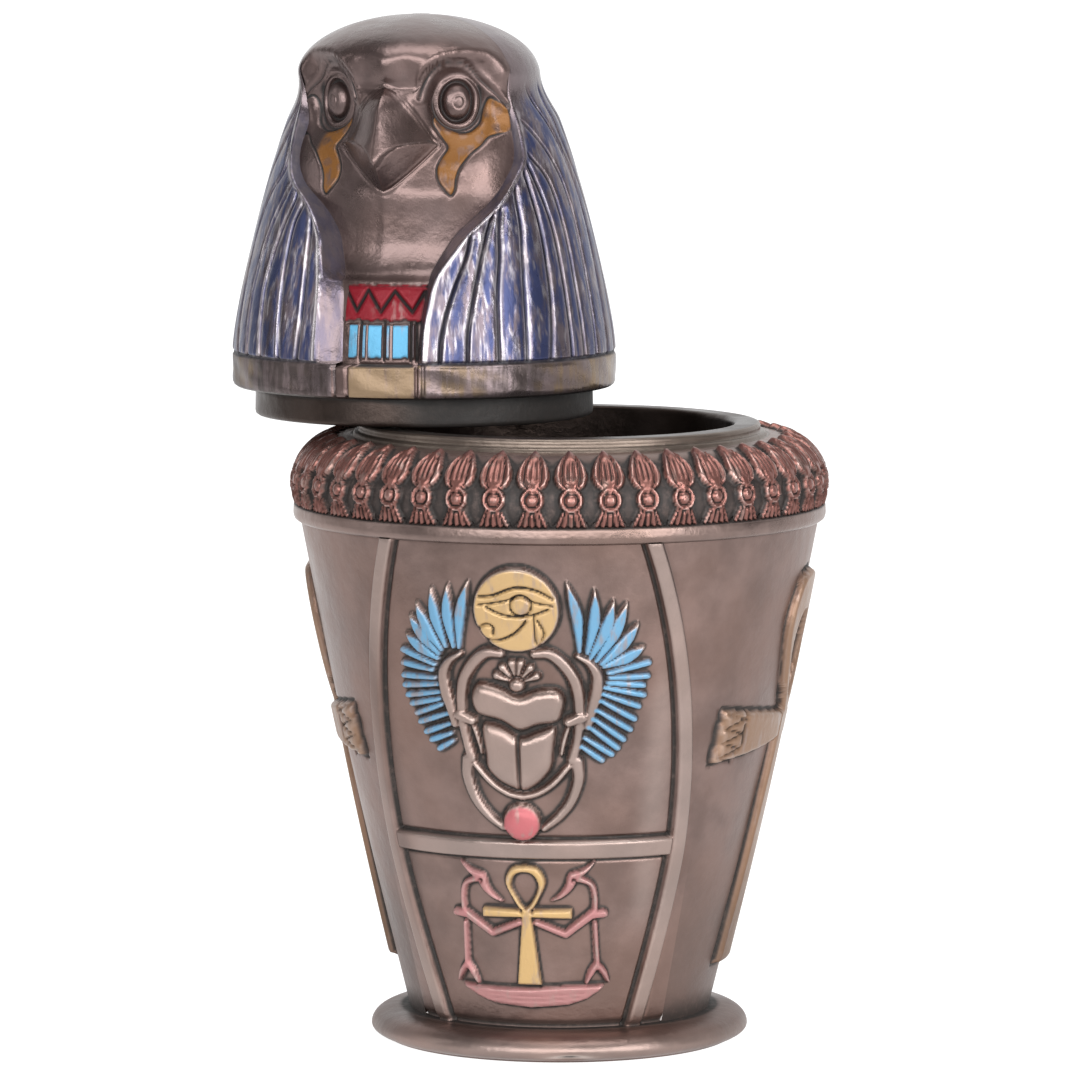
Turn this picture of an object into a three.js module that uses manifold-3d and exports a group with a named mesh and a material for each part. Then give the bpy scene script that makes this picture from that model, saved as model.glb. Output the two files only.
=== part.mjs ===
// A souvenir canopic jar: a small tapered vessel with a falcon-headed lid, both cast in bronze-filled resin.
// Millimetres, +Z up. The jar's axis is the Z axis, its foot stands on z = 0 and its front looks along -Y.
// The jar and its lid are two separate castings. The lid is lifted off and rests askew on the jar's rim.
import * as THREE from "three";
import { mergeVertices } from "three/addons/utils/BufferGeometryUtils.js";
import Module from "manifold-3d";

const wasm = await Module();
wasm.setup();

// Jar, all radii from the axis
const JAR_HEIGHT = 88.2;
const FOOT_RADIUS = 27.0;
const FOOT_FLAT_RADIUS = 26.2;
const FOOT_HEIGHT = 4.3;
const BODY_BASE_RADIUS = 21.5;
const BODY_TOP_RADIUS = 36.9;
const BODY_BULGE = 0.6;
const LEDGE_RADIUS = 38.1;
const LEDGE_HEIGHT = 2.6;
const LEDGE_DROP = 11.4;
const SHOULDER_RADIUS = 37.5;
const SHOULDER_ARC_WIDTH = 7.0;
const SHOULDER_ARC_HEIGHT = 6.9;
const RIM_RADIUS = 28.65;
const RIM_HEIGHT = 1.2;
const RIM_STEP = 0.7;
const MOUTH_RADIUS = 24.9;
const NECK_DEPTH = 5.0;
const HOLLOW_RADIUS = 31.0;
const HOLLOW_SHOULDER_DROP = 12.5;
const WALL = 4.0;
const FLOOR = 6.0;

// Lotus-bud frieze round the shoulder
const BUD_COUNT = 44;
const BUD_RELIEF = 0.9;
const BUD_WIDTH = 3.9;
const BUD_TAIL_WIDTH = 4.1;
const BOSS_RADIUS = 1.9;
const BOSS_RELIEF = 1.0;

// Framed panels, front and back
const RIB_WIDTH = 2.6;
const RIB_RELIEF = 0.7;
const BAR_HEIGHT = 30.6;
const BAR_WIDTH = 2.7;
const RIB_ANGLE_TOP = 30.6;
const RIB_ANGLE_BAR = 46.0;
const RIB_ANGLE_FOOT = 38.5;

// Figures on the front panel, and the tall ankh on each side
const FIGURE_RELIEF = 0.9;
const SCARAB_RELIEF = 1.4;
const SUN_RADIUS = 6.05;
const SUN_RELIEF = 1.3;
const BALL_RADIUS = 2.6;
const FEATHERS = 17;
const SIDE_ANKH_RELIEF = 0.9;
const SIDE_ANKH_BASE = 12.6;

// Lid, heights from the underside of its brim
const LID_HEIGHT = 53.3;
const BRIM_RADIUS = 27.6;
const BRIM_HEIGHT = 4.7;
const SPIGOT_HEIGHT = 4.1;
const SPIGOT_CLEARANCE = 0.6;
const WIG_GROOVE = 0.45;
const CROWN_HEIGHT = 8.7;
const CROWN_HALF_WIDTH = 17.1;
const CROWN_HALF_LENGTH = 20.0;
const CROWN_AHEAD = 2.6;
const CROWN_TILTS = [0, 6, 12, 20, 30, 45, 63, 82];
const BROW_SOFTNESS = 0.9;
const EYE_ANGLE = 35;
const EYE_HEIGHT = 41.0;
const EYE_RADIUS = 3.2;
const EYE_RELIEF = 1.2;

// How the lid rests on the rim
const LID_SHIFT_X = -20.8;
const LID_SHIFT_Y = 6.0;
const LID_TURN = -4;
const CONTACT_GAP = 0.3;

// Faceting
const EMBED = 0.8;
const CURVE_STEPS = 6;
const FACE_COLUMNS = 11;
const WIG_COLUMNS = 30;
const EDGE_STEP = 1.2;
const WIG_EDGE = 42;
const BODY_STEPS = 3;

const rad = THREE.MathUtils.degToRad;
const lerp = THREE.MathUtils.lerp;
const smooth = THREE.MathUtils.smoothstep;

const LEDGE_TOP = JAR_HEIGHT - LEDGE_DROP;
const LEDGE_BOTTOM = LEDGE_TOP - LEDGE_HEIGHT;
const RIM_BASE = JAR_HEIGHT - RIM_HEIGHT;
const SHOULDER_TOP = RIM_BASE - RIM_STEP;
const SHOULDER_ARC_R = SHOULDER_RADIUS - SHOULDER_ARC_WIDTH;
const SHOULDER_ARC_Z = SHOULDER_TOP - SHOULDER_ARC_HEIGHT;

// Turns a closed geometry into a solid, and a solid back into a geometry.
function solidOf(geometry) {
  const g = geometry.clone();
  for (const name of Object.keys(g.attributes)) {
    if (name !== "position") g.deleteAttribute(name);
  }
  const merged = mergeVertices(g, 1e-4);
  return new wasm.Manifold(
    new wasm.Mesh({
      numProp: 3,
      vertProperties: new Float32Array(merged.attributes.position.array),
      triVerts: new Uint32Array(merged.index.array),
    }),
  );
}

function geometryOf(solid) {
  const { vertProperties, triVerts } = solid.getMesh();
  const g = new THREE.BufferGeometry();
  g.setAttribute("position", new THREE.BufferAttribute(vertProperties, 3));
  g.setIndex(new THREE.BufferAttribute(triVerts, 1));
  g.computeVertexNormals();
  return g;
}

const joined = (solids) => solids.reduce((a, b) => a.add(b));

// A point at an angle from the front (degrees, positive towards +X), a radius and a height.
function polar(angle, radius, z) {
  return new THREE.Vector3(radius * Math.sin(rad(angle)), -radius * Math.cos(rad(angle)), z);
}

// A closed solid through rings of points, each ring listed the same way round.
function loft(rings) {
  const n = rings[0].length;
  const position = rings.flat().flatMap((p) => [p.x, p.y, p.z]);
  const index = [];
  for (let k = 0; k + 1 < rings.length; k++) {
    for (let i = 0; i < n; i++) {
      const [a, b] = [k * n + i, k * n + ((i + 1) % n)];
      index.push(a, b, b + n, a, b + n, a + n);
    }
  }
  const last = (rings.length - 1) * n;
  for (let i = 1; i + 1 < n; i++) {
    index.push(0, i + 1, i, last, last + i, last + i + 1);
  }
  const g = new THREE.BufferGeometry();
  g.setAttribute("position", new THREE.Float32BufferAttribute(position, 3));
  g.setIndex(index);
  const solid = solidOf(g);
  if (solid.volume() > 0) return solid;
  g.setIndex(index.map((_, i) => index[i - (i % 3) + [0, 2, 1][i % 3]]));
  return solidOf(g);
}

// A profile of [radius, height] points turned round the axis, with one facet centred on the front.
function turned(profile) {
  const points = profile.map(([r, z]) => new THREE.Vector2(r, z));
  const half = Math.PI / BUD_COUNT;
  const g = new THREE.LatheGeometry(points, BUD_COUNT, half, 2 * Math.PI);
  return solidOf(g.rotateX(Math.PI / 2));
}

// Jar body
function bodyRadius(z) {
  const t = THREE.MathUtils.clamp((z - FOOT_HEIGHT) / (LEDGE_BOTTOM - FOOT_HEIGHT), 0, 1);
  return lerp(BODY_BASE_RADIUS, BODY_TOP_RADIUS, t) + BODY_BULGE * Math.sin(Math.PI * t);
}

// The shoulder's rounded profile, from the ledge (share 0) to its crown (share 1), pushed out by a height.
function shoulderPoint(share, out = 0) {
  const start = Math.asin((LEDGE_TOP - SHOULDER_ARC_Z) / SHOULDER_ARC_HEIGHT);
  const a = lerp(start, Math.PI / 2, share);
  return [
    SHOULDER_ARC_R + (SHOULDER_ARC_WIDTH + out) * Math.cos(a),
    SHOULDER_ARC_Z + (SHOULDER_ARC_HEIGHT + out) * Math.sin(a),
  ];
}

function bodyProfile(out, from, to, steps) {
  return Array.from({ length: steps + 1 }, (_, i) => {
    const z = lerp(from, to, i / steps);
    return [bodyRadius(z) + out, z];
  });
}

function vessel() {
  const footEdge = Array.from({ length: CURVE_STEPS - 1 }, (_, i) => {
    const a = rad(lerp(-20, 75, i / (CURVE_STEPS - 2)));
    const round = FOOT_RADIUS - BODY_BASE_RADIUS;
    return [BODY_BASE_RADIUS + round * Math.cos(a), lerp(0.9, FOOT_HEIGHT - 0.1, Math.max(0, Math.sin(a)))];
  });
  footEdge[0][1] = 0.35;
  const shoulder = Array.from({ length: CURVE_STEPS }, (_, i) => shoulderPoint(i / (CURVE_STEPS - 1)));
  const hollowTop = JAR_HEIGHT - HOLLOW_SHOULDER_DROP;
  const outside = [
    [0, 0],
    [FOOT_FLAT_RADIUS, 0],
    ...footEdge,
    ...bodyProfile(0, FOOT_HEIGHT, LEDGE_BOTTOM, BODY_STEPS),
    [LEDGE_RADIUS, LEDGE_BOTTOM + LEDGE_HEIGHT / 3],
    [LEDGE_RADIUS, LEDGE_TOP],
    ...shoulder,
    [RIM_RADIUS + RIM_STEP, SHOULDER_TOP],
    [RIM_RADIUS + RIM_STEP, RIM_BASE],
    [RIM_RADIUS, RIM_BASE],
    [RIM_RADIUS, JAR_HEIGHT],
  ];
  const inside = [
    [MOUTH_RADIUS, JAR_HEIGHT],
    [MOUTH_RADIUS, JAR_HEIGHT - NECK_DEPTH],
    [HOLLOW_RADIUS, hollowTop],
    ...[0.7, 0.35].map((t) => {
      const z = lerp(FLOOR, hollowTop, t);
      return [Math.min(HOLLOW_RADIUS, bodyRadius(z) - WALL), z];
    }),
    [bodyRadius(FLOOR) - WALL, FLOOR + 1],
    [bodyRadius(FLOOR) - WALL - 1.5, FLOOR],
    [0, FLOOR],
  ];
  return turned([...outside, ...inside]);
}

// Lotus-bud frieze: a ridged stem that flares at the ledge, swells into a boss and opens as a pointed leaf.
function bud(angle) {
  const sections = [
    [0.02, BUD_TAIL_WIDTH, 0.7],
    [0.25, 2.4, 0.75],
    [0.33, 2 * BOSS_RADIUS, BOSS_RELIEF],
    [0.43, 2.1, 0.6],
    [0.57, BUD_WIDTH, BUD_RELIEF],
    [0.93, 0.6, 0.15],
  ];
  const on = (across, share, out) => {
    const [r, z] = shoulderPoint(share, out);
    return polar(angle + THREE.MathUtils.radToDeg(across / r), r, z);
  };
  return loft(
    sections.map(([share, width, relief]) => [
      on(-width / 2, share, -EMBED / 2),
      on(0, share, relief),
      on(width / 2, share, -EMBED / 2),
    ]),
  );
}

// Panel frames: two bowed ribs and a cross bar
function ribAngle(z) {
  if (z > BAR_HEIGHT) {
    const t = (z - BAR_HEIGHT) / (LEDGE_BOTTOM - BAR_HEIGHT);
    return lerp(RIB_ANGLE_BAR, RIB_ANGLE_TOP, Math.pow(t, 1.8));
  }
  const t = (BAR_HEIGHT - z) / (BAR_HEIGHT - FOOT_HEIGHT);
  return lerp(RIB_ANGLE_BAR, RIB_ANGLE_FOOT, Math.pow(t, 1.6));
}

function rib(centre, side) {
  const steps = 2 * CURVE_STEPS;
  return loft(
    Array.from({ length: steps + 1 }, (_, i) => {
      const z = lerp(FOOT_HEIGHT - EMBED, LEDGE_BOTTOM + EMBED, i / steps);
      const r = bodyRadius(z);
      const half = THREE.MathUtils.radToDeg(RIB_WIDTH / 2 / r);
      const at = centre + side * ribAngle(THREE.MathUtils.clamp(z, FOOT_HEIGHT, LEDGE_BOTTOM));
      return [
        polar(at - half, r - EMBED, z),
        polar(at - half, r + RIB_RELIEF, z),
        polar(at + half, r + RIB_RELIEF, z),
        polar(at + half, r - EMBED, z),
      ];
    }),
  );
}

function crossBar(centre) {
  const [low, high] = [BAR_HEIGHT - BAR_WIDTH / 2, BAR_HEIGHT + BAR_WIDTH / 2];
  const steps = 2 * CURVE_STEPS;
  return loft(
    Array.from({ length: steps + 1 }, (_, i) => {
      const at = centre + lerp(-RIB_ANGLE_BAR, RIB_ANGLE_BAR, i / steps);
      return [
        polar(at, bodyRadius(low) - EMBED, low),
        polar(at, bodyRadius(low) + RIB_RELIEF * 0.9, low),
        polar(at, bodyRadius(high) + RIB_RELIEF * 0.9, high),
        polar(at, bodyRadius(high) - EMBED, high),
      ];
    }),
  );
}

// A flat outline, drawn as seen square on, raised from the body's wall by a height.
function raised(shape, relief, facing = 0) {
  const reach = LEDGE_RADIUS + 5;
  const prism = solidOf(
    new THREE.ExtrudeGeometry(shape, { depth: reach, bevelEnabled: false, curveSegments: CURVE_STEPS })
      .rotateX(Math.PI / 2)
      .rotateZ(rad(facing)),
  );
  const outer = bodyProfile(relief, FOOT_HEIGHT, LEDGE_BOTTOM, BODY_STEPS);
  const inner = bodyProfile(-EMBED, FOOT_HEIGHT, LEDGE_BOTTOM, 1).reverse();
  return prism.intersect(turned([...outer, ...inner, outer[0]]));
}

// Outlines are drawn in millimetres across and up, with up measured from the foot.
const point = ([x, y]) => new THREE.Vector2(x, y);
const polygon = (points) => new THREE.Shape(points.map(point));
const mirrored = (points) => points.map(([x, y]) => [-x, y]);
const curveThrough = (points, steps) => new THREE.SplineCurve(points.map(point)).getPoints(steps);

function ribbon(points, width, steps = CURVE_STEPS) {
  const curve = new THREE.SplineCurve(points.map(point));
  const edge = (side) =>
    Array.from({ length: steps + 1 }, (_, i) => {
      const [p, t] = [curve.getPoint(i / steps), curve.getTangent(i / steps)];
      return new THREE.Vector2(p.x - (side * t.y * width) / 2, p.y + (side * t.x * width) / 2);
    });
  return new THREE.Shape([...edge(-1), ...edge(1).reverse()]);
}

function disc(x, y, r) {
  return new THREE.Shape().absarc(x, y, r, 0, 2 * Math.PI);
}

// One wing: a fan of feathers from the wing bone, as a notched outline. Up is measured from the bar.
const SCARAB_BASE = BAR_HEIGHT + BAR_WIDTH / 2;
const aboveBar = (points) => points.map(([x, y]) => [x, y + SCARAB_BASE]);

function wing(side) {
  const tips = curveThrough(
    aboveBar([[7.4, 36.8], [11.2, 35.6], [15.0, 33.0], [17.1, 27.5], [16.8, 21.8], [14.6, 16.2], [10.8, 12.1]]),
    2 * FEATHERS,
  );
  const roots = curveThrough(
    aboveBar([[8.4, 28.0], [11.0, 26.6], [12.2, 23.6], [11.3, 19.6], [9.6, 15.6], [8.4, 13.4]]),
    2 * FEATHERS,
  );
  const outline = tips.map((tip, i) => (i % 2 ? tip.clone() : tip.clone().lerp(roots[i], 0.3)));
  outline.push(...roots.filter((_, i) => i % 6 === 0).reverse());
  return new THREE.Shape(outline.map((p) => new THREE.Vector2(side * p.x, p.y)));
}

function scarab() {
  const pronotum = [
    [-6.7, 20.8], [-6.4, 22.5], [-5.2, 23.3], [-2.6, 22.0], [0, 21.4], [2.6, 22.0], [5.0, 22.9], [6.2, 21.5],
    [6.2, 19.0], [5.2, 17.1], [1.4, 16.4], [-0.2, 15.6], [-1.8, 17.0], [-5.6, 17.9],
  ];
  const elytra = [
    [-5.6, 17.6], [-5.2, 12.0], [-4.2, 9.2], [-2.2, 7.7], [0, 7.3], [2.2, 7.7], [4.2, 9.2], [5.2, 12.0], [5.3, 17.0],
    [1.4, 16.2], [-0.2, 15.4], [-1.8, 16.8],
  ];
  const head = [[-3.4, 22.8], [-3.4, 25.4], [-1.6, 26.2], [1.4, 26.2], [3.2, 25.4], [3.2, 22.8]];
  const legs = [
    [[[-2.4, 27.4], [-5.6, 26.6], [-7.6, 22.6], [-7.8, 18.6]], 1.7],
    [[[-8.2, 27.2], [-10.8, 25.0], [-10.8, 21.4], [-9.2, 16.6]], 1.6],
    [[[-8.4, 18.0], [-7.4, 14.4], [-7.0, 11.8]], 1.5],
    [[[-7.2, 12.0], [-7.8, 8.4], [-5.6, 3.8], [-2.8, 1.2]], 1.6],
  ];
  const belly = [[-7.0, 11.2], [-4.6, 8.2], [0, 6.4], [4.6, 8.2], [7.0, 11.2]];
  const sunHeight = SCARAB_BASE + 33.2;
  const parts = [
    raised(disc(0, sunHeight, SUN_RADIUS), SUN_RELIEF),
    raised(disc(-0.2, SCARAB_BASE + BALL_RADIUS + 0.1, BALL_RADIUS), SUN_RELIEF),
    raised(polygon(aboveBar(pronotum)), SCARAB_RELIEF),
    raised(polygon(aboveBar(elytra)), SCARAB_RELIEF * 0.8),
    raised(polygon(aboveBar(head)), FIGURE_RELIEF * 0.8),
    raised(ribbon(aboveBar(belly), 1.3), FIGURE_RELIEF),
  ];
  for (const side of [1, -1]) {
    parts.push(raised(wing(side), FIGURE_RELIEF * 0.8));
    for (const [path, width] of legs) {
      parts.push(raised(ribbon(aboveBar(side > 0 ? mirrored(path) : path), width, 4), FIGURE_RELIEF));
    }
  }
  return joined(parts);
}

// The lower panel: an ankh held by two long-necked sceptre figures, on a bowl. Down is measured from the bar.
const CHARM_TOP = BAR_HEIGHT - BAR_WIDTH / 2;
const belowBar = (points) => points.map(([x, y]) => [x, y + CHARM_TOP]);

function ankhShape({ loopTop, loopHalf, holeTop, holeHalf, cross, crossHalf, crossThick, crossFlare, stem, foot, base }) {
  const outline = [
    [0, loopTop], [0.75 * loopHalf, loopTop - 0.1 * (loopTop - cross)], [loopHalf, lerp(loopTop, cross, 0.35)],
    [0.72 * loopHalf, lerp(loopTop, cross, 0.65)], [stem, cross + crossThick], [crossHalf, cross + crossFlare],
    [crossHalf, cross - crossFlare], [stem, cross - crossThick], [foot, base],
  ];
  const left = mirrored(outline).reverse();
  const shape = polygon([...outline, ...left.slice(0, -1)]);
  const low = lerp(cross + crossThick, loopTop, 0.08);
  const hole = [
    [0, holeTop], [0.8 * holeHalf, lerp(holeTop, low, 0.12)], [holeHalf, lerp(holeTop, low, 0.35)],
    [0.55 * holeHalf, lerp(holeTop, low, 0.7)], [0, low],
  ];
  shape.holes.push(new THREE.Path([...mirrored(hole), ...hole.slice(1, -1).reverse()].map(point)));
  return shape;
}

function charm() {
  const ankh = ankhShape({
    loopTop: CHARM_TOP - 0.7, loopHalf: 2.9, holeTop: CHARM_TOP - 1.9, holeHalf: 1.8,
    cross: CHARM_TOP - 7.9, crossHalf: 6.3, crossThick: 0.6, crossFlare: 0.75, stem: 0.8, foot: 1.9,
    base: CHARM_TOP - 18.4,
  });
  const bowl = [
    [-10.1, -18.6], [-8.0, -20.3], [-4.2, -21.7], [0, -22.0], [4.2, -21.7], [8.0, -20.3], [10.1, -18.6], [0, -19.0],
  ];
  const strokes = [
    [[[9.6, -0.6], [7.2, -2.2], [5.6, -3.2], [3.8, -6.0]], 1.1],
    [[[6.4, -2.6], [8.6, -3.4], [9.0, -7.6]], 1.1],
    [[[10.2, -8.2], [7.6, -8.0], [4.8, -10.5], [1.0, -8.9]], 1.3],
    [[[9.0, -8.4], [9.0, -15.8]], 1.1],
    [[[9.0, -15.4], [7.9, -18.6]], 1.0],
    [[[9.0, -15.4], [10.1, -18.6]], 1.0],
  ];
  const parts = [raised(ankh, FIGURE_RELIEF), raised(polygon(belowBar(bowl)), FIGURE_RELIEF)];
  for (const [path, width] of strokes) {
    for (const side of [1, -1]) {
      const steps = path.length > 2 ? 4 : 1;
      parts.push(raised(ribbon(belowBar(side < 0 ? mirrored(path) : path), width, steps), FIGURE_RELIEF * 0.85));
    }
  }
  return joined(parts);
}

function sideAnkh(facing) {
  const up = (z) => z + SIDE_ANKH_BASE;
  const shape = ankhShape({
    loopTop: up(55.2), loopHalf: 7.4, holeTop: up(49.6), holeHalf: 3.2,
    cross: up(34.0), crossHalf: 18.1, crossThick: 1.9, crossFlare: 3.7, stem: 2.0, foot: 4.7, base: up(0),
  });
  return raised(shape, SIDE_ANKH_RELIEF, facing);
}

function jar() {
  const parts = [vessel(), scarab(), charm(), sideAnkh(90), sideAnkh(-90)];
  for (let i = 0; i < BUD_COUNT; i++) {
    parts.push(bud((360 * i) / BUD_COUNT));
  }
  for (const centre of [0, 180]) {
    parts.push(rib(centre, -1), rib(centre, 1), crossBar(centre));
  }
  return joined(parts);
}

// Lid: the surface is a reach from the lid's own axis, for an angle from the face's middle and a height
// above the underside of the brim. The wig is a bell under a domed crown, and the face is set back in it.
const WIG_PROFILE = [
  [0, 27.6], [6, 27.5], [12.4, 26.5], [19.6, 24.9], [26.8, 23.1], [34, 21], [41.1, 18.5], [44.6, 17.2],
];
const CROWN_BASE = LID_HEIGHT - CROWN_HEIGHT;

// Across the face at a height: reach at the middle, reach beside the beak and the angle where that is,
// how sharp the ridge is, reach at the cheek, and the angle where the wig's edge stands.
const FACE_SECTIONS = [
  { z: 4.7, middle: 24.6, side: 24.6, beak: 6, sharp: 1, cheek: 24.4, edge: 12 },
  { z: 14.0, middle: 23.6, side: 23.5, beak: 6, sharp: 1, cheek: 23.3, edge: 14 },
  { z: 17.0, middle: 21.6, side: 21.5, beak: 8, sharp: 1, cheek: 21.4, edge: 18 },
  { z: 20.5, middle: 20.8, side: 20.6, beak: 10, sharp: 1, cheek: 20.4, edge: 23 },
  { z: 25.0, middle: 20.3, side: 20.0, beak: 14, sharp: 1, cheek: 20.2, edge: 35 },
  { z: 27.8, middle: 20.6, side: 20.0, beak: 15, sharp: 1, cheek: 20.0, edge: 45 },
  { z: 29.0, middle: 21.1, side: 19.8, beak: 16, sharp: 0.8, cheek: 19.8, edge: 50 },
  { z: 31.6, middle: 23.9, side: 19.5, beak: 18, sharp: 0.8, cheek: 19.2, edge: 56 },
  { z: 32.4, middle: 25.7, side: 19.4, beak: 19, sharp: 1.7, cheek: 19.0, edge: 57 },
  { z: 33.6, middle: 25.8, side: 19.0, beak: 20, sharp: 1.4, cheek: 18.8, edge: 58 },
  { z: 35.2, middle: 25.2, side: 18.4, beak: 20, sharp: 1.15, cheek: 18.2, edge: 58 },
  { z: 37.2, middle: 24.5, side: 18.2, beak: 17, sharp: 1.05, cheek: 16.9, edge: 58 },
  { z: 39.2, middle: 23.8, side: 18.8, beak: 12, sharp: 1, cheek: 15.9, edge: 57 },
  { z: 41.1, middle: 22.9, side: 19.6, beak: 9, sharp: 1, cheek: 15.4, edge: 56 },
  { z: 43.0, middle: 20.9, side: 19.7, beak: 8, sharp: 1, cheek: 15.6, edge: 56 },
  { z: 45.0, middle: 20.4, side: 19.7, beak: 9, sharp: 1, cheek: 16.4, edge: 56 },
  { z: 48.0, middle: 20.6, side: 19.6, beak: 11, sharp: 1, cheek: 17.0, edge: 56 },
];

function between(table, z, pick) {
  let low = table[0];
  for (const high of table.slice(1)) {
    if (z < pick(high, 0)) {
      const share = Math.max(0, (z - pick(low, 0)) / (pick(high, 0) - pick(low, 0)));
      return lerp(pick(low, 1), pick(high, 1), share);
    }
    low = high;
  }
  return pick(low, 1);
}

const faceValue = (z, name) => between(FACE_SECTIONS, z, (row, i) => (i ? row[name] : row.z));

function crownReach(angle, z) {
  const k = Math.sqrt(Math.max(0, 1 - Math.pow(Math.max(0, z - CROWN_BASE) / CROWN_HEIGHT, 2)));
  const [sx, sy] = [Math.sin(rad(angle)) / CROWN_HALF_WIDTH, Math.cos(rad(angle)) / CROWN_HALF_LENGTH];
  const c = CROWN_AHEAD / CROWN_HALF_LENGTH;
  const [qa, qb, qc] = [sx * sx + sy * sy, -2 * sy * c, c * c - k * k];
  const root = qb * qb - 4 * qa * qc;
  return root < 0 ? 0 : (-qb + Math.sqrt(root)) / (2 * qa);
}

// Height of the brow over the eye, where the crown overhangs the face.
function browHeight(angle) {
  const a = Math.abs(angle);
  return a < 38 ? lerp(43.6, 48.4, smooth(a, 7, 38)) : lerp(48.4, 46, smooth(a, 38, 60));
}

function faceReach(angle, z) {
  const a = Math.abs(angle);
  const [middle, side, beak, sharp, cheek, edge] = ["middle", "side", "beak", "sharp", "cheek", "edge"].map(
    (name) => faceValue(z, name),
  );
  if (a < beak) return side + (middle - side) * Math.pow(1 - a / beak, sharp);
  const cheekAngle = lerp(beak, edge, 0.55);
  const rim = Math.min(wigReach(edge, z) - 1.6, cheek + 1.4);
  const reach = a < cheekAngle
    ? lerp(side, cheek, smooth(a, beak, cheekAngle))
    : lerp(cheek, rim, smooth(a, cheekAngle, edge));
  const eye = Math.hypot((rad(a - EYE_ANGLE) * cheek), z - EYE_HEIGHT);
  return reach + EYE_RELIEF * (1 - smooth(eye, 0.8, EYE_RADIUS));
}

function wigReach(angle, z) {
  const bell = between(WIG_PROFILE, z, (row, i) => row[i]);
  return z > CROWN_BASE ? crownReach(angle, z) : lerp(bell, crownReach(angle, z), smooth(z, 36, CROWN_BASE));
}

// Columns of the lid's surface on one side of the face: those of the face, then those of the wig, whose
// first one stands on the wig's front edge. Grooves between the wig's stripes are on every other column.
function columnAngle(column, z) {
  const edge = faceValue(z, "edge");
  if (column < FACE_COLUMNS) return (edge - EDGE_STEP) * Math.pow(column / (FACE_COLUMNS - 1), 1.25);
  const share = (column - FACE_COLUMNS) / WIG_COLUMNS;
  return lerp(WIG_EDGE, 180, share) + (edge - WIG_EDGE) * Math.pow(1 - share, 1.6);
}

function lidReach(column, z) {
  if (z >= LID_HEIGHT) return 0;
  const angle = columnAngle(column, z);
  if (column < FACE_COLUMNS) {
    const brow = browHeight(angle);
    return lerp(faceReach(angle, z), wigReach(angle, z), smooth(z, brow - BROW_SOFTNESS, brow + BROW_SOFTNESS));
  }
  const grooved = column > FACE_COLUMNS && (column - FACE_COLUMNS) % 2 === 1;
  const fade = grooved ? 1 - smooth(z, LID_HEIGHT - 11, LID_HEIGHT - 7) : 0;
  return wigReach(angle, z) - fade * WIG_GROOVE;
}

function lid() {
  const side = Array.from({ length: FACE_COLUMNS + WIG_COLUMNS + 1 }, (_, i) => i);
  const columns = [...side.slice(1, -1).reverse().map((i) => [i, -1]), ...side.map((i) => [i, 1])];
  const around = (z, reach) => columns.map(([i, sign]) => polar(sign * columnAngle(i, z), reach(i), z));
  const rings = [
    around(-SPIGOT_HEIGHT, () => MOUTH_RADIUS - SPIGOT_CLEARANCE),
    around(0, () => MOUTH_RADIUS - SPIGOT_CLEARANCE),
    around(0, () => BRIM_RADIUS - 0.4),
    around(0.6, () => BRIM_RADIUS),
    around(BRIM_HEIGHT - 0.3, () => BRIM_RADIUS),
  ];
  const rows = FACE_SECTIONS.map(({ z }) => z).filter((z) => z < CROWN_BASE);
  rows.splice(1, 0, 9);
  for (const z of rows) rings.push(around(z, (i) => lidReach(i, z)));
  for (const tilt of CROWN_TILTS) {
    const [out, up] = [Math.cos(rad(tilt)), Math.sin(rad(tilt))];
    rings.push(
      columns.map(([i, sign]) => {
        let [low, high] = [0, 40];
        for (let k = 0; k < 20; k++) {
          const mid = (low + high) / 2;
          if (mid * out < lidReach(i, CROWN_BASE + mid * up)) low = mid;
          else high = mid;
        }
        const z = CROWN_BASE + low * up;
        return polar(sign * columnAngle(i, z), low * out, z);
      }),
    );
  }
  return loft(rings);
}

// Assembly
const bronze = new THREE.MeshStandardMaterial({ color: 0x6e5a50, roughness: 0.38, metalness: 0.75 });
const lidBronze = new THREE.MeshStandardMaterial({ color: 0x5d4f4d, roughness: 0.32, metalness: 0.8 });

const jarMesh = new THREE.Mesh(geometryOf(jar()), bronze);
jarMesh.name = "jar";

const lidMesh = new THREE.Mesh(geometryOf(lid()), lidBronze);
lidMesh.name = "lid";
const lidPlace = new THREE.Group();
lidPlace.position.set(LID_SHIFT_X, LID_SHIFT_Y, JAR_HEIGHT + CONTACT_GAP + SPIGOT_HEIGHT);
lidPlace.rotation.z = rad(LID_TURN);
lidPlace.add(lidMesh);

const canopicJar = new THREE.Group();
canopicJar.add(jarMesh, lidPlace);
export default canopicJar;
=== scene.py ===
from math import cos, pi, radians, sin

import bpy
import numpy as np
from mathutils import Matrix, Vector


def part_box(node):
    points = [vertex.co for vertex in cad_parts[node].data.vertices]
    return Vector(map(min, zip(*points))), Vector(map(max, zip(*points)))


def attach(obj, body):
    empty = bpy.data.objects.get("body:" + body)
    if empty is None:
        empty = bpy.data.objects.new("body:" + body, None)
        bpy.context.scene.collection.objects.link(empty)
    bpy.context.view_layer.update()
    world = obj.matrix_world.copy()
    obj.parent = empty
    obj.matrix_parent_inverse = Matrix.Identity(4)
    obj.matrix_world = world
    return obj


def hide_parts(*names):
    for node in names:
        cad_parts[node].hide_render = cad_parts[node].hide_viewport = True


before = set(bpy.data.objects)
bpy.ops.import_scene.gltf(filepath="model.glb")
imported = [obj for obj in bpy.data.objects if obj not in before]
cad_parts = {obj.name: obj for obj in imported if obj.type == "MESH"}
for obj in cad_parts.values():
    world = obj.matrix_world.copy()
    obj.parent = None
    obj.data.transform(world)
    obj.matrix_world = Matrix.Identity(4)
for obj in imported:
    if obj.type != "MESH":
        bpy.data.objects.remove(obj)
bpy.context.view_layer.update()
MM = 0.001

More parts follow.
